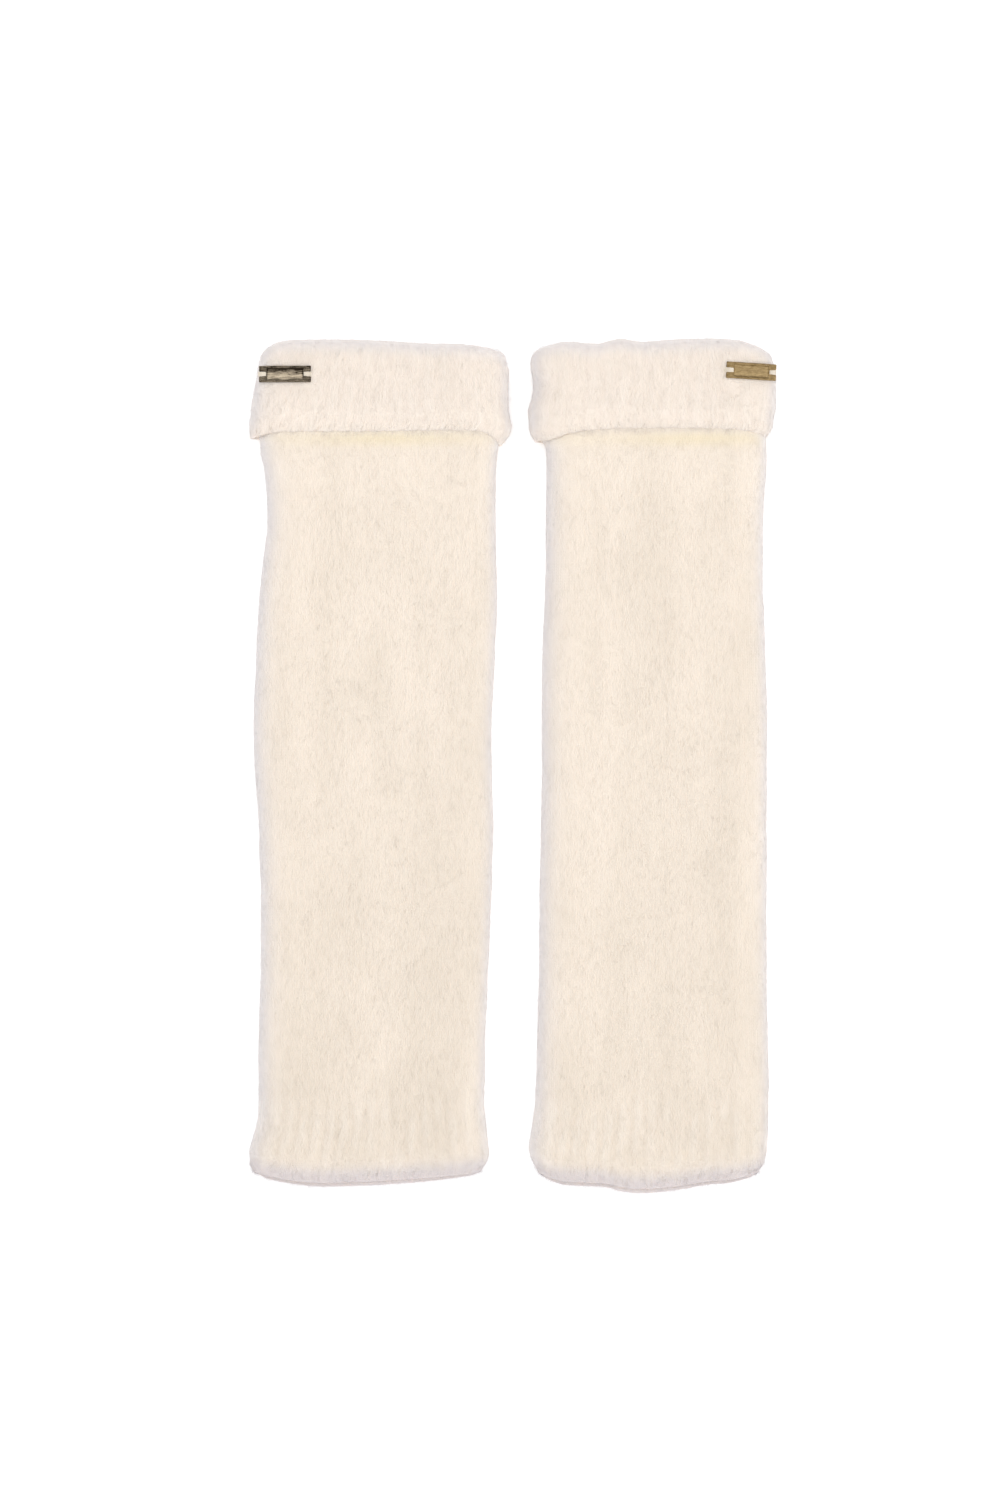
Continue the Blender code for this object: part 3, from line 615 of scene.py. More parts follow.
class Shader:
    def __init__(self, name):
        self.material = bpy.data.materials.new(name)
        self.material.use_nodes = True
        self.tree = self.material.node_tree
        self.surface = self.tree.nodes["Principled BSDF"]

    def put(self, socket, value):
        if isinstance(value, Socket):
            self.tree.links.new(value.out, socket)
        elif hasattr(socket.default_value, "__len__") and not hasattr(value, "__len__"):
            socket.default_value = [value] * len(socket.default_value)
        elif hasattr(value, "__len__") and len(value) == 3 and len(socket.default_value) == 4:
            socket.default_value = (*value, 1.0)
        else:
            socket.default_value = value

    def node(self, kind, settings, inputs, output=0):
        made = self.tree.nodes.new(kind)
        for name, value in settings.items():
            setattr(made, name, value)
        for name, value in inputs.items():
            self.put(made.inputs[name], value)
        return Socket(self, made.outputs[output])

    def mix(self, share, first, second):
        return self.node("ShaderNodeMix", {"data_type": "RGBA"}, {0: share, 6: first, 7: second}, 2)

    def attribute(self, name):
        return self.node("ShaderNodeAttribute", {"attribute_name": name}, {}, "Fac")

    def place(self, scale, turn=(0, 0, 0)):
        at = self.node("ShaderNodeTexCoord", {}, {}, "Object")
        return self.node("ShaderNodeMapping", {}, {"Vector": at, "Rotation": turn, "Scale": scale})

    def noise(self, scale, detail=2.0, roughness=0.5, turn=(0, 0, 0)):
        values = {"Vector": self.place(scale, turn), "Scale": 1.0, "Detail": detail, "Roughness": roughness}
        return self.node("ShaderNodeTexNoise", {}, values)

    def axes(self, vector):
        parts = self.node("ShaderNodeSeparateXYZ", {}, {0: vector}).out.node.outputs
        return Socket(self, parts[0]), Socket(self, parts[1])

    def uv(self, name):
        return self.axes(self.node("ShaderNodeUVMap", {"uv_map": name}, {}))

    def tinted(self, colour, attribute, share, tint):
        return self.mix((self.attribute(attribute) * share).clamp(), colour, tint)

    def finish(self, bump=None, **values):
        # bump is height, distance in metres and strength
        if bump:
            height, distance, strength = bump
            values["Normal"] = self.node(
                "ShaderNodeBump", {}, {"Height": height, "Distance": distance, "Strength": strength}
            )
        for name, value in values.items():
            self.put(self.surface.inputs[name.replace("_", " ")], value)
        return self.material


# Colours are linear; nap is the brushed surface, the edge tint is the painted cool shade of the outline
clothLooks = {
    # Each look's first colour is a darker cream for random tone and for painted shade down the leg
    "leg": {"deeperAndShaded": (0.855, 0.750, 0.632), "cream": (0.955, 0.842, 0.722), "paler": (0.965, 0.866, 0.768)},
    "cuff": {"deeperAndShaded": (0.908, 0.799, 0.692), "cream": (0.963, 0.850, 0.750), "paler": (0.976, 0.882, 0.794)},
}
# Noises are in waves a metre along X, Y and Z
knitLook = {
    "patches": (36, 22, 36), "bands": (70, 9, 70), "bandTurn": (0, 0, 0.06), "streaks": (620, 150, 620),
    # The fourth key in this row is painted light: how much paler the cream grows up the leg
    "fluff": (1500, 1100, 1500), "contrast": 3.0, "level": 0.61, "paintedLightUpTheLeg": 2.1, "palerShare": 0.35,
    # This row's first colour is painted shade between the stitches, its second a painted highlight on the rib
    # crests
    "valleyShade": (0.840, 0.720, 0.580), "stitchShade": 0.10, "crest": (0.985, 0.905, 0.815), "crestHighlightShare": 0.28,
    # This row's first colour is painted cool shade at the outline, its second painted shade at the hem's rim
    "edge": (0.810, 0.780, 0.800), "outlineShadeShare": 0.85, "hemRimShadeColour": (0.690, 0.640, 0.655), "hemRimShadeShare": 0.95,
    # This row's first colour is painted warm shadow under the cuff
    "glow": (0.915, 0.790, 0.550), "underCuffShadowShare": 0.7, "stitchSlant": 1.3, "stitchDepth": 0.5, "napDepth": 0.55,
    "bumpHeight": 0.0004, "sheen": 0.2, "sheenRoughness": 0.55, "sheenTint": (1.0, 0.97, 0.96), "gloss": 0.2,
    "scatter": 0.35, "scatterReach": (1.0, 0.8, 0.6), "scatterScale": 0.0035,
}


def clothColour(shader, look, brushing):
    # Broad patches and long bands between two creams, random tone mixed with painted soft shade, deeper down
    # the leg by painted shade, then paler streaks of nap, the painted warm shadow under the cuff, the painted
    # cool shade of the outline and the painted shade at the hem's rim
    knit = knitLook
    patches, bands = shader.noise(knit["patches"]), shader.noise(knit["bands"], 1.0, 0.5, knit["bandTurn"])
    slow = patches * 0.55 + bands * 0.45
    # Painted light and shade: the cream grows paler up the leg and deeper towards the hem
    _, height = shader.axes(shader.place((1, 1, 1)))
    cream = ((slow - 0.5) * knit["contrast"] + knit["level"] + height * knit["paintedLightUpTheLeg"]).clamp()
    colour = shader.mix(cream, look["deeperAndShaded"], look["cream"])
    colour = shader.mix((brushing * 1.6 - 0.3).clamp() * knit["palerShare"], colour, look["paler"])
    # Painted warm shadow under the cuff, painted cool shade at the outline and painted shade at the hem's rim
    colour = shader.tinted(colour, "glow", knit["underCuffShadowShare"], knit["glow"])
    colour = shader.tinted(colour, "edge", knit["outlineShadeShare"], knit["edge"])
    return shader.tinted(colour, "glow", -knit["hemRimShadeShare"], knit["hemRimShadeColour"])


def knitMaterial(name, look):
    # Two slanting strands in each wale make the stitch's V, with painted shade between them. Brushed nap blurs
    # it:
    # long streaks down the leg, and a finer fluff over them. The crests of the ribs get a painted highlight.
    shader, knit = Shader(name), knitLook
    wale, course = shader.uv("stitches")
    away = abs(wale.fract() - 0.5)
    strand = (away * (2 * math.pi)).sine()
    stitch = strand * ((course + away * knit["stitchSlant"]).wave() * 0.5 + 0.5)
    brushing = shader.noise(knit["streaks"], 3.0, 0.6) * 0.65 + shader.noise(knit["fluff"], 2.0, 0.65) * 0.35
    height = stitch * knit["stitchDepth"] + brushing * knit["napDepth"]
    # Painted shade in the valleys between the stitches
    paintedValleyShade = ((1 - stitch) * knit["stitchShade"]).clamp()
    colour = shader.mix(paintedValleyShade, clothColour(shader, look, brushing), knit["valleyShade"])
    # Painted highlight on the rib crests
    colour = shader.tinted(colour, "crest", knit["crestHighlightShare"], knit["crest"])
    shader.surface.subsurface_method = "BURLEY"
    return shader.finish(
        (height, knit["bumpHeight"], 0.5), Base_Color=colour, Roughness=0.86 + brushing * 0.1,
        Sheen_Weight=knit["sheen"], Sheen_Roughness=knit["sheenRoughness"], Sheen_Tint=knit["sheenTint"],
        Specular_IOR_Level=knit["gloss"], Subsurface_Weight=knit["scatter"],
        Subsurface_Radius=knit["scatterReach"], Subsurface_Scale=knit["scatterScale"],
    )


# Fibres per warmer, in millimetres. Nap lies along the cloth. Loose fibres stand off it at the outline, the
# fold and the rims, and some hang over the cuff's rim. A rise is the share of their way that goes straight out.
fuzzLook = {
    "napThickness": 0.045, "napSpread": 0.35, "napLift": (0.02, 0.15), "comb": 0.42, "bend": 0.35,
    "looseThickness": 0.042, "looseSpread": 0.3, "scatter": 0.3, "rise": (0.1, 0.75),
    "root": 0.15, "thinner": 0.75, "around": 250.0, "litFromAbove": 0.7, "noise": (900, 300, 900),
    "front": (-0.045, 0.545), "sides": 0.022, "pastSeam": 2,
    "leg": {"nap": 13000, "napTop": 165, "length": 4.2, "loose": 2600, "looseTop": 160, "looseLength": 2.6},
    "hem": {
        "nap": 3600, "napFrom": -1.5, "length": 3.4, "loose": 1000, "looseLength": 2.4,
        "lip": (-2.6, 1), "lipLength": 2.2, "lipRise": (0.1, 0.8),
    },
    "cuff": {
        "nap": 4600, "napFrom": 1, "length": 3.4, "loose": 1000, "looseLength": 2.4,
        "overRim": 1100, "over": (-0.8, 1.2), "overAcross": (0.035, 0.465), "overLength": 3.8,
        "overRise": (-0.3, 0.05),
        "top": (0.6, 2.0), "topLength": 2.2, "topRise": (0.6, 1.1),
    },
}


def fuzzMaterial(name, look):
    shader = Shader(name)
    tone = shader.noise(fuzzLook["noise"], 2.0, 0.6)
    return shader.finish(
        None, Base_Color=clothColour(shader, look, tone), Roughness=0.8 + tone * 0.1,
        Sheen_Weight=knitLook["sheen"], Sheen_Roughness=0.5, Specular_IOR_Level=knitLook["gloss"],
    )


def napPaths(tube, share, t, length, rng, **relief):
    # Root, bend and tip of fibres that follow the cloth: each next point is the cloth's surface a little
    # further down the leg and to one side, plus a small lift along its normal
    look, count = fuzzLook, len(share)
    length = length * rng.lognormal(0, look["napSpread"], count) / 2
    swing = rng.normal(0, look["comb"], count)
    secondSwing = swing + rng.normal(0, look["bend"], count)
    side = np.where(share % 1.0 < 0.5, 1, -1) / look["around"]  # a millimetre across, as a share
    lift = rng.uniform(*look["napLift"], (2, count))
    place = [(share, t, -look["root"])]
    for angle, rise in ((swing, lift[0]), (secondSwing, lift[1])):
        at, along, _ = place[-1]
        place.append((at + length * np.sin(angle) * side, along - length * np.cos(angle), rise))
    paths = []
    for at, along, rise in place:
        points, outward, facing = clothAt(tube, at, along, **relief)
        paths.append(points + outward * np.broadcast_to(rise, count)[:, None])
    paintedShades = paintedShadesAt(tube, paths[0], np.clip(t, tube["first"], tube["last"]))
    return paths, outward, *paintedShades, look["napThickness"]


def loosePaths(tube, share, t, length, rise, rng, thickness=fuzzLook["looseThickness"], **relief):
    # Root, bend and tip of fibres that leave the cloth: down the leg, out along the normal by rise, and aside
    look, count = fuzzLook, len(share)
    roots, outward, facing = clothAt(tube, share, t, **relief)
    length = length * rng.lognormal(0, look["looseSpread"], count) / 2
    aside = rng.normal(0, 1, (2, count, 3)) * look["scatter"]
    rise = rng.uniform(*rise, (2, count))
    ways = [outward * r[:, None] - upLeg * (1 - r)[:, None] + a for r, a in zip(rise, aside)]
    ways = [way / np.linalg.norm(way, axis=1, keepdims=True) * length[:, None] for way in ways]
    paths = [roots - outward * look["root"], roots + ways[0], roots + ways[0] + ways[1]]
    paintedShades = paintedShadesAt(tube, roots, np.clip(t, tube["first"], tube["last"]))
    return paths, outward, *paintedShades, thickness


# Corners of a fibre are three round its root, three round its bend and the tip
spike = np.array([
    (0, 2, 1), (0, 1, 4), (0, 4, 3), (1, 2, 5), (1, 5, 4),
    (2, 0, 3), (2, 3, 5), (3, 4, 6), (4, 5, 6), (5, 3, 6),
])


def fuzzPiece(name, batches, material):
    # Each fibre is a three-sided spike with one bend. It is lit as the cloth under it is, with the cloth's
    # normal turned a little upwards.
    meshes, normals, paintedShades = [], [], []
    for (root, bend, tip), outward, edge, glow, thickness in batches:
        along = (tip - root) / (np.linalg.norm(tip - root, axis=1, keepdims=True) + 1e-6)
        one = np.cross(along, [0.31, 0.22, 0.925])  # any way that no fibre runs
        one /= np.linalg.norm(one, axis=1, keepdims=True)
        two = np.cross(along, one)
        offsets = [one * math.cos(a) + two * math.sin(a) for a in (0, 2 * math.pi / 3, 4 * math.pi / 3)]
        rootRing = [root + off * thickness for off in offsets]
        bendRing = [bend + off * thickness * fuzzLook["thinner"] for off in offsets]
        meshes.append(np.stack([*rootRing, *bendRing, tip], 1))
        normals.append(outward + np.array([0.0, 0.0, fuzzLook["litFromAbove"]]))
        # Each fibre takes the painted shades of the cloth under it
        paintedShades.append(np.stack([edge, glow], 1))
    points = np.concatenate(meshes)
    count, corners = points.shape[:2]
    paintedShades = np.repeat(np.concatenate(paintedShades), corners, axis=0)
    normals = np.repeat(np.concatenate(normals), corners, axis=0)
    normals /= np.linalg.norm(normals, axis=1, keepdims=True)
    points[..., 2] = np.maximum(points[..., 2], fibreRest)
    faces = (np.arange(count)[:, None, None] * corners + spike[None]).reshape(-1, 3)
    piece = meshFrom(name, points, faces, material)
    for attribute, values in zip(("edge", "glow"), paintedShades.T):
        writeValues(piece, attribute, values)
    if signedVolume(piece.data) < 0:
        piece.data.flip_normals()
    piece.data.normals_split_custom_set_from_vertices(normals.tolist())
    return piece


def frontShares(rng, count):
    # Most fibres on the front panel, the rest down both side folds
    return rng.uniform(*fuzzLook["front"], count)


def sideShares(rng, count):
    # Shares round the two side folds alone
    return rng.choice([0.0, 0.5], count) + rng.normal(0, fuzzLook["sides"], count)


def facedShares(front, back):
    # Even points over the front, and fewer on the back
    return np.concatenate([np.arange(front) / front / 2, 0.5 + np.arange(back) / back / 2])


# Rings are closer together where the cuff's rim shades the leg, and far apart inside
legDetail = {
    "front": 272, "back": 96, "underStep": 2, "fine": (170.0, 156.5), "fineStep": 0.5, "step": 3.1,
    "hemStep": 1.5, "innerStep": 16.0, "seamStep": 1.5, "innerSeam": (-4, 6),
    "wale": 0.03, "ribsFade": 16.0, "rimFlat": 0.6, "rimNap": 1.2,
}


def legSheet(side, material, fuzz):
    # One wall from the cuff's seam down the leg and the ribbed hem, round its rim and back up inside
    warmer, detail = warmers[side], legDetail
    leg = makeTube(warmer, warmer["leg"], panel, middle=legMiddle)
    hem = makeTube(warmer, warmer["hem"], panel, edgeFrom=warmer["hemRim"], rimNap=detail["rimNap"])
    for name in ("frontFolds", "backFolds"):
        hem[name] = leg[name]
    share = facedShares(detail["front"], detail["back"])
    rim, wale, inner = hem["rimAt"], detail["wale"], detail["innerStep"]

    def ribsAt(y):
        # The hem's ribs grow out of the plain leg, and are pressed flatter near the rim
        grown = ribs["hemHeight"] * ease((hemSeam - y) / detail["ribsFade"])
        return grown * (1 - detail["rimFlat"] * ease(1 - (y - rim) / nap["thinLength"]))

    fineFrom, fineTo = detail["fine"]
    down = [*steps(cuffSeam, fineFrom, detail["underStep"])[:-1]]
    down += [*steps(fineFrom, fineTo, detail["fineStep"])[:-1]]
    down += [*steps(fineTo, hemSeam + detail["seamStep"], detail["step"])]
    onHem = steps(hemSeam, rim, detail["hemStep"])
    rings = [plainRing(leg, share, y, waleHeight=wale) for y in down]
    rings += [plainRing(hem, share, y, float(ribsAt(y)), wale) for y in onHem]
    rings += rimRings(hem, share, rimDegrees, float(ribsAt(rim)))
    below, above = detail["innerSeam"]
    rings += [plainRing(hem, share, y, inset=wall) for y in steps(rim, hemSeam + below, inner / 2)]
    rings += [plainRing(leg, share, y, inset=wall) for y in steps(hemSeam + above, cuffSeam, inner)]
    sheet = knittedPiece(f"{side}_leg_cloth", rings, share, material)

    rng = np.random.default_rng(21 + (side == "right"))
    look, rise, seam = fuzzLook["leg"], fuzzLook["rise"], hemSeam + fuzzLook["pastSeam"]
    y = rng.uniform(seam, look["napTop"], look["nap"])
    lying = napPaths(leg, frontShares(rng, look["nap"]), y, look["length"], rng)
    y = rng.uniform(seam, look["looseTop"], look["loose"])
    loose = loosePaths(leg, sideShares(rng, look["loose"]), y, look["looseLength"], rise, rng)
    legFibres = fuzzPiece(f"{side}_leg_fibres", [lying, loose], fuzz)

    look = fuzzLook["hem"]
    y = rng.uniform(rim + look["napFrom"], seam, look["nap"])
    lying = napPaths(hem, frontShares(rng, look["nap"]), y, look["length"], rng, ribHeight=ribsAt(y))
    count = look["loose"] // 2
    at, y = sideShares(rng, count), rng.uniform(rim, hemSeam, count)
    sides = loosePaths(hem, at, y, look["looseLength"], rise, rng)
    at, y = rng.uniform(0, 1, count), rng.uniform(rim + look["lip"][0], rim + look["lip"][1], count)
    lip = loosePaths(hem, at, y, look["lipLength"], look["lipRise"], rng)
    return sheet, [legFibres, fuzzPiece(f"{side}_hem_fibres", [lying, sides, lip], fuzz)]


cuffDetail = {
    "front": 272, "back": 96, "step": 1.5, "innerStep": 6.0, "seamStep": 4, "wale": 0.05, "turned": 200,
    "foldDegrees": range(12, 160, 14), "liningDegrees": (135, 90, 45),
}


def cuffTube(warmer):
    # The solid's own rows, with the ones at the fold moved to the middle of its half circle
    centre = [(at, *(y - foldRadius + nap["fold"] for y in fold)) for at, *fold in warmer["fold"]]
    sections = [(y - foldRadius if y > cuffDetail["turned"] else y, *rest) for y, *rest in warmer["cuff"]]
    tube = makeTube(warmer, sections, cuffPanel, cuffOutset, edgeFrom=warmer["cuffRim"], edgeTo=centre)
    low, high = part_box(warmer["plate"]["node"])
    tube["plateAt"] = np.array((low + high) / 2 / mm) - np.array([*centring, 0.0])
    return tube


def cuffSheet(side, material, fuzz):
    # One long wall: round the lower rim, up the outside, over the fold, down to the seam with the leg, back up
    # and down again as the lining
    warmer, detail = warmers[side], cuffDetail
    tube = cuffTube(warmer)
    share = facedShares(detail["front"], detail["back"])
    rim, fold, height = tube["rimAt"], tube["last"], ribs["cuffHeight"]
    inside, seam, inner = wall + cuffOutset, cuffSeam + seamGap, detail["innerStep"]
    above, outer = cuffSeam + detail["seamStep"], foldRadius + nap["body"]
    rings = rimRings(tube, share, rimDegrees[::-1], height)
    rings += [plainRing(tube, share, y, height, detail["wale"]) for y in steps(rim, fold, detail["step"])]
    rings += [turnedRing(tube, share, fold, foldRadius, outer, a, height) for a in detail["foldDegrees"]]
    rings += [plainRing(tube, share, y, inset=inside) for y in steps(fold, above, inner)]
    rings += [plainRing(tube, share, seam, inset=depth, level=True) for depth in (inside, cuffOutset)]
    rings += [plainRing(tube, share, y, inset=cuffOutset) for y in steps(above, fold, inner)]
    rings += [turnedRing(tube, share, fold, foldRadius, layerGap / 2, a) for a in detail["liningDegrees"]]
    rings += [plainRing(tube, share, y, inset=wall) for y in steps(fold, rim, inner)]
    sheet = knittedPiece(f"{side}_cuff_cloth", rings, share, material)

    rng = np.random.default_rng(23 + (side == "right"))
    look, relief = fuzzLook["cuff"], {"ribHeight": height}
    t = rng.uniform(rim + look["napFrom"], fold + foldRadius * 2, look["nap"])
    lying = napPaths(tube, frontShares(rng, look["nap"]), t, look["length"], rng, **relief)
    count = look["overRim"]
    at = rng.uniform(*look["overAcross"], count)
    t = rng.uniform(rim + look["over"][0], rim + look["over"][1], count)
    rise, thickness = look["overRise"], fuzzLook["napThickness"]
    over = loosePaths(tube, at, t, look["overLength"], rise, rng, thickness, **relief)
    count = look["loose"] // 2
    at, t = sideShares(rng, count), rng.uniform(rim, fold, count)
    sides = loosePaths(tube, at, t, look["looseLength"], fuzzLook["rise"], rng, **relief)
    t = fold + foldRadius * rng.uniform(*look["top"], count)
    top = loosePaths(tube, rng.uniform(0, 1, count), t, look["topLength"], look["topRise"], rng, **relief)
    return sheet, [fuzzPiece(f"{side}_cuff_fibres", [lying, over, sides, top], fuzz)]


# Noises are in waves a metre, worn is the patina's streaks, upper is the share of painted shade along the
# field's upper side, and the rails get painted dark reflection
plateLook = {
    "length": 26.0, "width": 8.2, "thickness": 1.2, "notchWidth": 2.6, "notchDepth": 2.7, "notchTaper": 0.6,
    "rail": 1.1, "pocket": 0.45, "step": 0.08, "edge": 0.18, "around": 320, "cornerReach": 0.7, "sharp": 50,
    "brushing": (500, 5200, 5200), "stipple": (1500, 1500, 1500), "streaks": (190, 1300, 1300),
    # Two copies of one brass: the left greyer and darker for painted dark reflection, the right more golden for
    # painted bright reflection
    "left": {
        "metal": (0.57, 0.475, 0.35), "patinaAndShade": (0.024, 0.017, 0.011),
        "worn": 0.62, "upper": 0.52, "railsDarkReflection": 0.55,
    },
    "right": {
        "metal": (0.52, 0.375, 0.19), "patinaAndShade": (0.120, 0.075, 0.027),
        "worn": 0.42, "upper": 0.08, "railsDarkReflection": 0.28,
    },
}


def plateMaterial(name, colours):
    # Gold-toned metal, brushed lengthways, with dark patina in streaks and in its corners, painted dark
    # reflection on its rails and painted shade along the upper side of its field
    shader, look = Shader(name), plateLook
    rail, corner = shader.attribute("rail"), shader.attribute("corner")
    brushed = shader.noise(look["brushing"], 2.0, 0.6)
    stipple = shader.node("ShaderNodeTexVoronoi", {}, {"Vector": shader.place(look["stipple"]), "Scale": 1.0})
    uneven = ((shader.noise(look["streaks"], 3.0, 0.6) - 0.5) * 3.2 + 0.5).clamp()
    # Painted shade along the field's upper side
    upper = (shader.attribute("across") * 1.1 + 0.3).clamp()
    field = (1 - rail) * (uneven * colours["worn"] + upper * colours["upper"])
    # Patina in streaks and corners, with painted dark reflection on the rails and painted shade on the field's
    # upper side
    wearAndShade = (rail * (colours["railsDarkReflection"] + uneven * 0.4) + corner * 0.45 + field + stipple * 0.15).clamp()
    colour = shader.mix(wearAndShade, colours["metal"], colours["patinaAndShade"])
    height = (1 - rail) * (stipple * 0.7 + uneven * 0.5) + brushed * 0.25
    roughness = 0.24 + wearAndShade * 0.2 + brushed * 0.08
    return shader.finish((height, 0.00014, 0.6), Base_Color=colour, Metallic=1.0, Roughness=roughness)


def closeMesh(piece, mergeWithin=0.0):
    bm = bmesh.new()
    bm.from_mesh(piece.data)
    if mergeWithin:
        bmesh.ops.remove_doubles(bm, verts=bm.verts, dist=mergeWithin)
    bmesh.ops.holes_fill(bm, edges=bm.edges)
    bmesh.ops.recalc_face_normals(bm, faces=bm.faces)
    bm.to_mesh(piece.data)
    bm.free()


def seated(points, seat):
    # From the plate's own frame to its place on the cuff
    return points @ seat[:3, :3].T + seat[:3, 3] - np.array([*centring, 0])


def notchedOutline(look):
    # A bar with a tapered notch in the middle of each short end, as even points, with its corners smoothed
    halfLong, halfWide, notch = look["length"] / 2, look["width"] / 2, look["notchWidth"] / 2
    foot = (halfLong - look["notchDepth"], -notch * look["notchTaper"])
    right = [(halfLong, -halfWide), (halfLong, -notch), foot]
    right += [(x, -y) for x, y in reversed(right)]
    corners = np.array(right + [(-x, -y) for x, y in right])
    ends = np.vstack([corners, corners[:1]])
    travelled = np.concatenate([[0], np.cumsum(np.linalg.norm(np.diff(ends, axis=0), axis=1))])
    at = np.linspace(0, travelled[-1], look["around"], endpoint=False)
    outline = np.stack([np.interp(at, travelled, ends[:, k]) for k in (0, 1)], 1)
    for _ in range(2):
        outline = (np.roll(outline, 1, 0) + outline * 2 + np.roll(outline, -1, 0)) / 4
    return outline


def plateSheet(side):
    # A stack of outlines from the middle of the underside up over the edge, across the rails and down into the
    # field. Each is points, height and whether it lies on the rails.
    look = plateLook
    outline = notchedOutline(look)
    tangent = np.roll(outline, -1, 0) - np.roll(outline, 1, 0)
    inward = np.stack([-tangent[:, 1], tangent[:, 0]], 1) / np.linalg.norm(tangent, axis=1, keepdims=True)
    long = look["length"] / 2 - look["notchDepth"] - look["rail"]
    wide = look["width"] / 2 - look["rail"]

    def field(less):
        # The outline drawn in to the field's edge, and then by this much more
        x, y = outline.T
        return np.stack([np.clip(x, -long + less, long - less), np.clip(y, -wide + less, wide - less)], 1)

    half, edge, step = look["thickness"] / 2, look["edge"], look["step"]
    bottom, rounded = half - look["pocket"], outline + inward * edge
    stack = [(field(less), -half, 1) for less in (wide, wide / 2, 0)] + [(rounded, -half, 1)]
    for way, degrees in ((-1, -60), (-1, -30), (-1, 0), (1, 0), (1, 30), (1, 60)):
        turn = math.radians(degrees)
        lift = (half - edge) * way + edge * math.sin(turn)
        stack.append((outline + inward * edge * (1 - math.cos(turn)), lift, 1))
    stack += [(rounded, half, 1), (field(0) * 0.35 + rounded * 0.65, half, 1), (field(-0.1), half, 1)]
    stack += [(field(0), half - step, 1), (field(0.15), bottom + step, 0.4), (field(0.3), bottom, 0)]
    stack += [(field(wide * share), bottom, 0) for share in (0.3, 0.55, 0.8, 1.0)]
    points = np.stack([np.column_stack([ring, np.full(len(ring), z)]) for ring, z, _ in stack])
    railness = np.stack([np.full(look["around"], value, float) for _, _, value in stack])
    inField = points[..., 2] < half - 0.2
    edgeward = np.maximum(np.abs(points[..., 0]) - long, np.abs(points[..., 1]) - wide)
    cornered = np.where(inField, np.clip(1 + edgeward / look["cornerReach"], 0, 1), 0.0)
    across = points[..., 1] / wide

    place = warmers[side]["plate"]
    low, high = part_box(place["node"])
    seat = Matrix.Translation((low + high) / 2 / mm) @ Matrix.Rotation(math.radians(place["turn"]), 4, "Z")
    seat = np.array(seat @ Matrix.Rotation(math.radians(place["tilt"]), 4, "Y"))
    rings, around = points.shape[:2]
    faces = wrapFaces(rings, around)[: (rings - 1) * around]
    metal = plateMaterial(f"{side} plate metal", look[side])
    piece = meshFrom(f"{side}_plate_face", seated(points, seat), faces, metal)
    for name, values in (("rail", railness), ("corner", cornered), ("across", across)):
        writeValues(piece, name, values)
    closeMesh(piece, 0.002 * mm)
    piece.data.set_sharp_from_angle(angle=math.radians(look["sharp"]))
    return piece, seat


# Lengths in millimetres; dips and rises are by the share of a strand's length
threadLook = {
    "colour": (0.90, 0.82, 0.70), "shade": (0.78, 0.66, 0.52), "shadeShare": 0.55, "plies": 9.0, "twist": 2.0,
    "radius": 0.34, "strands": 4, "spacing": 1.35, "around": 8, "along": 18, "overMetal": 0.9,
    "pastMouth": 0.7, "stagger": 0.15, "hump": 0.25, "dip": 2.3, "dipFrom": 0.42, "dipOver": 0.58,
    "startDip": 0.9, "startOver": 0.12, "fan": 0.35, "sway": 0.05,
}


def threadMaterial(look):
    # Two-ply sewing thread: fine slanting bands
    shader = Shader("cream thread")
    along, around = shader.uv("ply")
    ply = (along * look["plies"] + around * look["twist"]).wave()
    colour = shader.mix(ply * look["shadeShare"], look["colour"], look["shade"])
    return shader.finish((ply, 0.00006, 0.7), Base_Color=colour, Roughness=0.6 + ply * 0.15, Sheen_Weight=0.15)


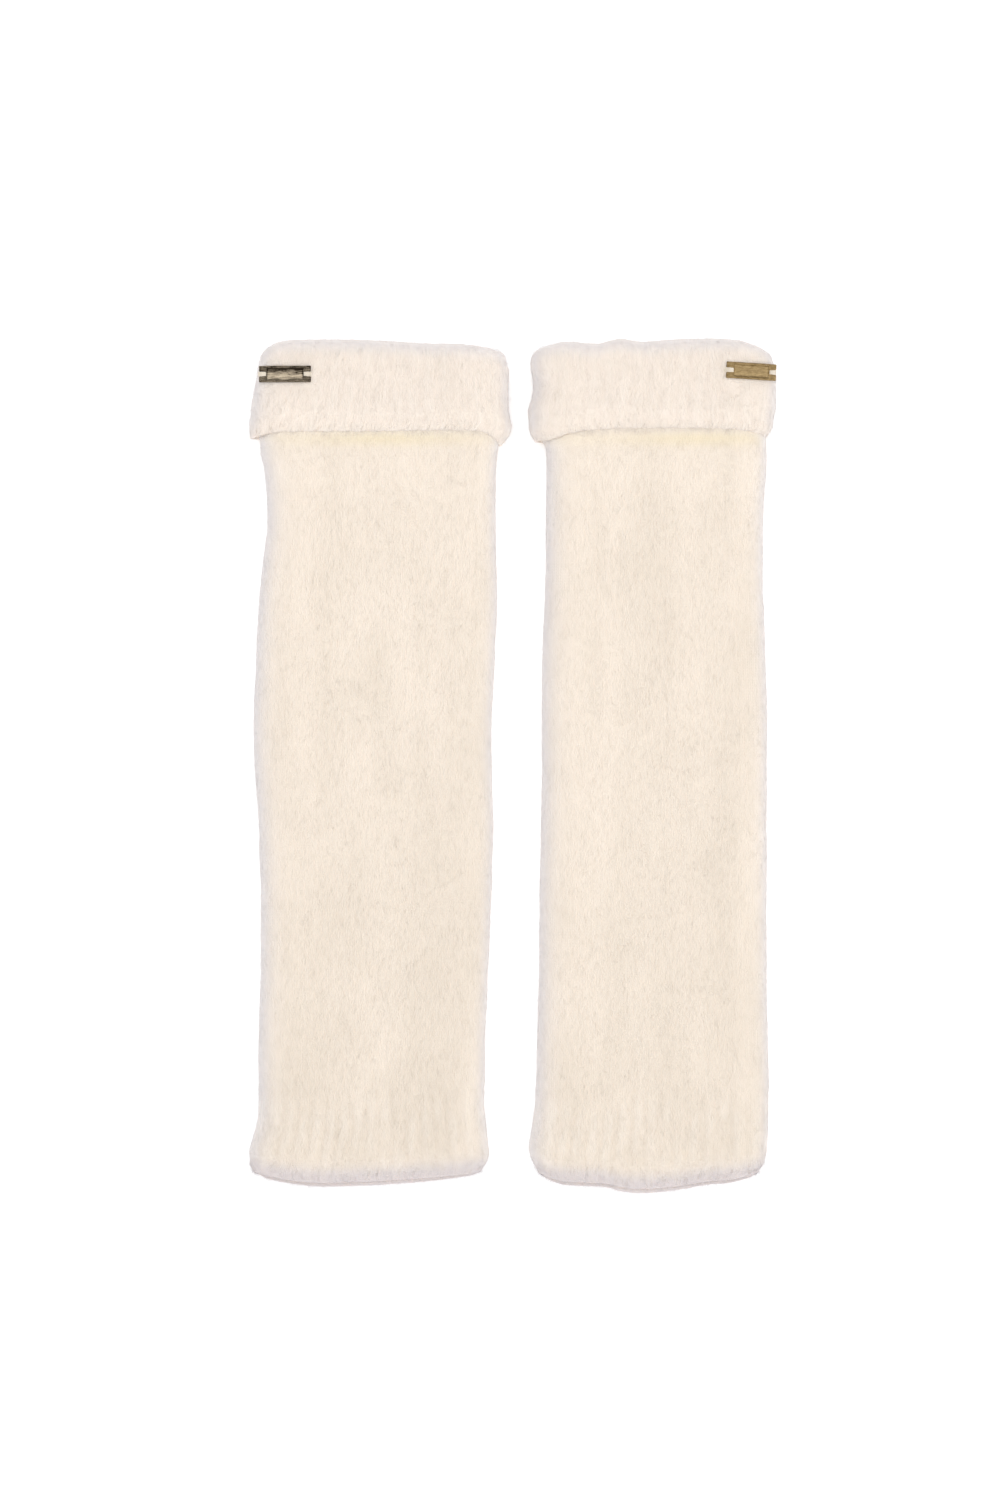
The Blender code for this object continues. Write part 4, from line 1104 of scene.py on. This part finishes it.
def threadPiece(side, seat, material):
    # Each strand comes over the metal at the foot of a notch, out along the notch and down into the cloth
    look, radius = threadLook, threadLook["radius"]
    half, mouth = plateLook["thickness"] / 2, plateLook["length"] / 2
    foot = mouth - plateLook["notchDepth"]
    s = np.linspace(0, 1, look["along"])
    turn = np.linspace(0, 2 * math.pi, look["around"], endpoint=False)
    uv = np.stack(np.broadcast_arrays(s[:, None], turn[None] / (2 * math.pi)), -1).reshape(-1, 2)
    strandFaces = wrapFaces(look["along"], look["around"])[: (look["along"] - 1) * look["around"]]
    strands, faces = [], []
    for end in (-1, 1):
        for strand in range(look["strands"]):
            y = (strand - (look["strands"] - 1) / 2) * radius * look["spacing"]
            inner = foot - look["overMetal"]
            outer = mouth + look["pastMouth"] + look["stagger"] * (strand % 2)
            hump = look["hump"] * np.sin(math.pi * np.clip(s * 1.6, 0, 1))
            z = half + radius * 0.6 + hump - look["dip"] * ease((s - look["dipFrom"]) / look["dipOver"])
            z = np.where(s < look["startOver"], z - look["startDip"] * (1 - s / look["startOver"]) ** 2, z)
            sideways = y * (1 + look["fan"] * s) + look["sway"] * np.sin(7 * s + strand)
            path = np.stack([end * (inner + (outer - inner) * s), sideways, z], 1)
            along = np.gradient(path, axis=0)
            along /= np.linalg.norm(along, axis=1, keepdims=True)
            one = np.cross(along, [0.0, 1.0, 0.0])
            one /= np.linalg.norm(one, axis=1, keepdims=True)
            two = np.cross(along, one)
            ring = one[:, None] * np.cos(turn)[None, :, None] + two[:, None] * np.sin(turn)[None, :, None]
            width = radius * np.sqrt(np.clip(1 - (2 * s - 1) ** 12, 0.02, 1))  # closes in at both ends
            faces.append(strandFaces + len(strands) * len(uv))
            strands.append((path[:, None] + ring * width[:, None, None]).reshape(-1, 3))
    points = seated(np.concatenate(strands), seat)
    piece = meshFrom(f"{side}_plate_thread", points, np.concatenate(faces), material)
    writeUv(piece, "ply", np.tile(uv, (len(strands), 1))[cornerPoints(piece)])
    closeMesh(piece)
    return piece


print("knit")
knits = {part: knitMaterial(f"brushed {part} knit", look) for part, look in clothLooks.items()}
fibres = {part: fuzzMaterial(f"brushed {part} fibres", look) for part, look in clothLooks.items()}
thread = threadMaterial(threadLook)

# The cut of each tube opened out, width round it by length along the cloth, in metres
pieces = [
    {
        "make": legSheet, "look": "leg", "slot": "brushed_knit", "nodes": ("leg_tube", "hem_rib"),
        "restsOn": ("floor",), "cut": {"left": (0.234, 0.379), "right": (0.226, 0.381)},
    },
    {
        "make": cuffSheet, "look": "cuff", "slot": "ribbed_knit", "nodes": ("turned_cuff",),
        "restsOn": ("floor", "leg_cloth"), "cut": {"left": (0.254, 0.085), "right": (0.244, 0.085)},
    },
]
for side in warmers:
    for piece in pieces:
        sheet, naps = piece["make"](side, knits[piece["look"]], fibres[piece["look"]])
        for each in (sheet, *naps):
            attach(each, "root")
        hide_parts(*(f"{side}_{node}" for node in piece["nodes"]))
        print(sheet.name, len(sheet.data.polygons) * 2, [(nap.name, len(nap.data.polygons)) for nap in naps])
    plate, seat = plateSheet(side)
    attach(plate, "root")
    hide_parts(f"{side}_metal_plate")
    stitches = threadPiece(side, seat, thread)
    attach(stitches, "root")
    print(plate.name, len(plate.data.polygons), stitches.name, len(stitches.data.polygons))

print("stage")
stageLook = {
    "size": 6.0, "below": 0.0002, "floor": (0.93, 0.93, 0.935), "paler": (0.95, 0.95, 0.95), "grain": 300,
    "glow": 0.30, "sky": (1.0, 1.0, 1.0), "skyStrength": 0.785,
}
bpy.ops.mesh.primitive_plane_add(size=stageLook["size"], location=(0, 0, -stageLook["below"]))
floor = bpy.context.object
floor.name = "floor"
paper = Shader("white paper")
grain = paper.noise((stageLook["grain"],) * 3)
colour = paper.mix(grain * 0.3, stageLook["floor"], stageLook["paler"])
floor.data.materials.append(paper.finish(
    (grain, 0.00005, 0.2), Base_Color=colour, Roughness=0.9, Emission_Color=(1, 1, 1),
    Emission_Strength=stageLook["glow"],
))

world = bpy.data.worlds.new("studio")
world.use_nodes = True
sky = world.node_tree.nodes["Background"].inputs
sky["Color"].default_value = (*stageLook["sky"], 1)
sky["Strength"].default_value = stageLook["skyStrength"]
bpy.context.scene.world = world

lights = [  # name, place, target, width, height, watts
    ("key", (-0.3, 0.6, 1.7), (0, 0, 0), 1.3, 1.0, 5.6),
    ("fill", (1.5, -0.3, 1.1), (0, 0, 0), 1.2, 1.2, 5.3),
    ("low", (0, -2.2, 0.55), (0, 0, 0), 2.0, 0.8, 7.0),
]
for name, place, target, width, height, watts in lights:
    lamp = bpy.data.lights.new(name, "AREA")
    lamp.shape, lamp.size, lamp.size_y, lamp.energy = "RECTANGLE", width, height, watts
    made = bpy.data.objects.new(name, lamp)
    made.location = place
    made.rotation_euler = (Vector(target) - Vector(place)).to_track_quat("-Z", "Y").to_euler()
    bpy.context.scene.collection.objects.link(made)

# The photo looks straight down: 1000 by 1500 pixels at half a millimetre each
cameraLook = {
    "lens": 150.0, "sensor": 36.0, "farthest": 20.0, "frameHeight": 0.75, "level": 0.012,
    "centre": (-0.00596, 0.00788),
}
lens = bpy.data.cameras.new("camera")
lens.lens, lens.sensor_width, lens.clip_end = cameraLook["lens"], cameraLook["sensor"], cameraLook["farthest"]
camera = bpy.data.objects.new("camera", lens)
away = cameraLook["frameHeight"] * cameraLook["lens"] / cameraLook["sensor"]
camera.location = (*cameraLook["centre"], cameraLook["level"] + away)
bpy.context.scene.collection.objects.link(camera)
bpy.context.scene.camera = camera
bpy.context.scene.view_settings.view_transform = "Standard"
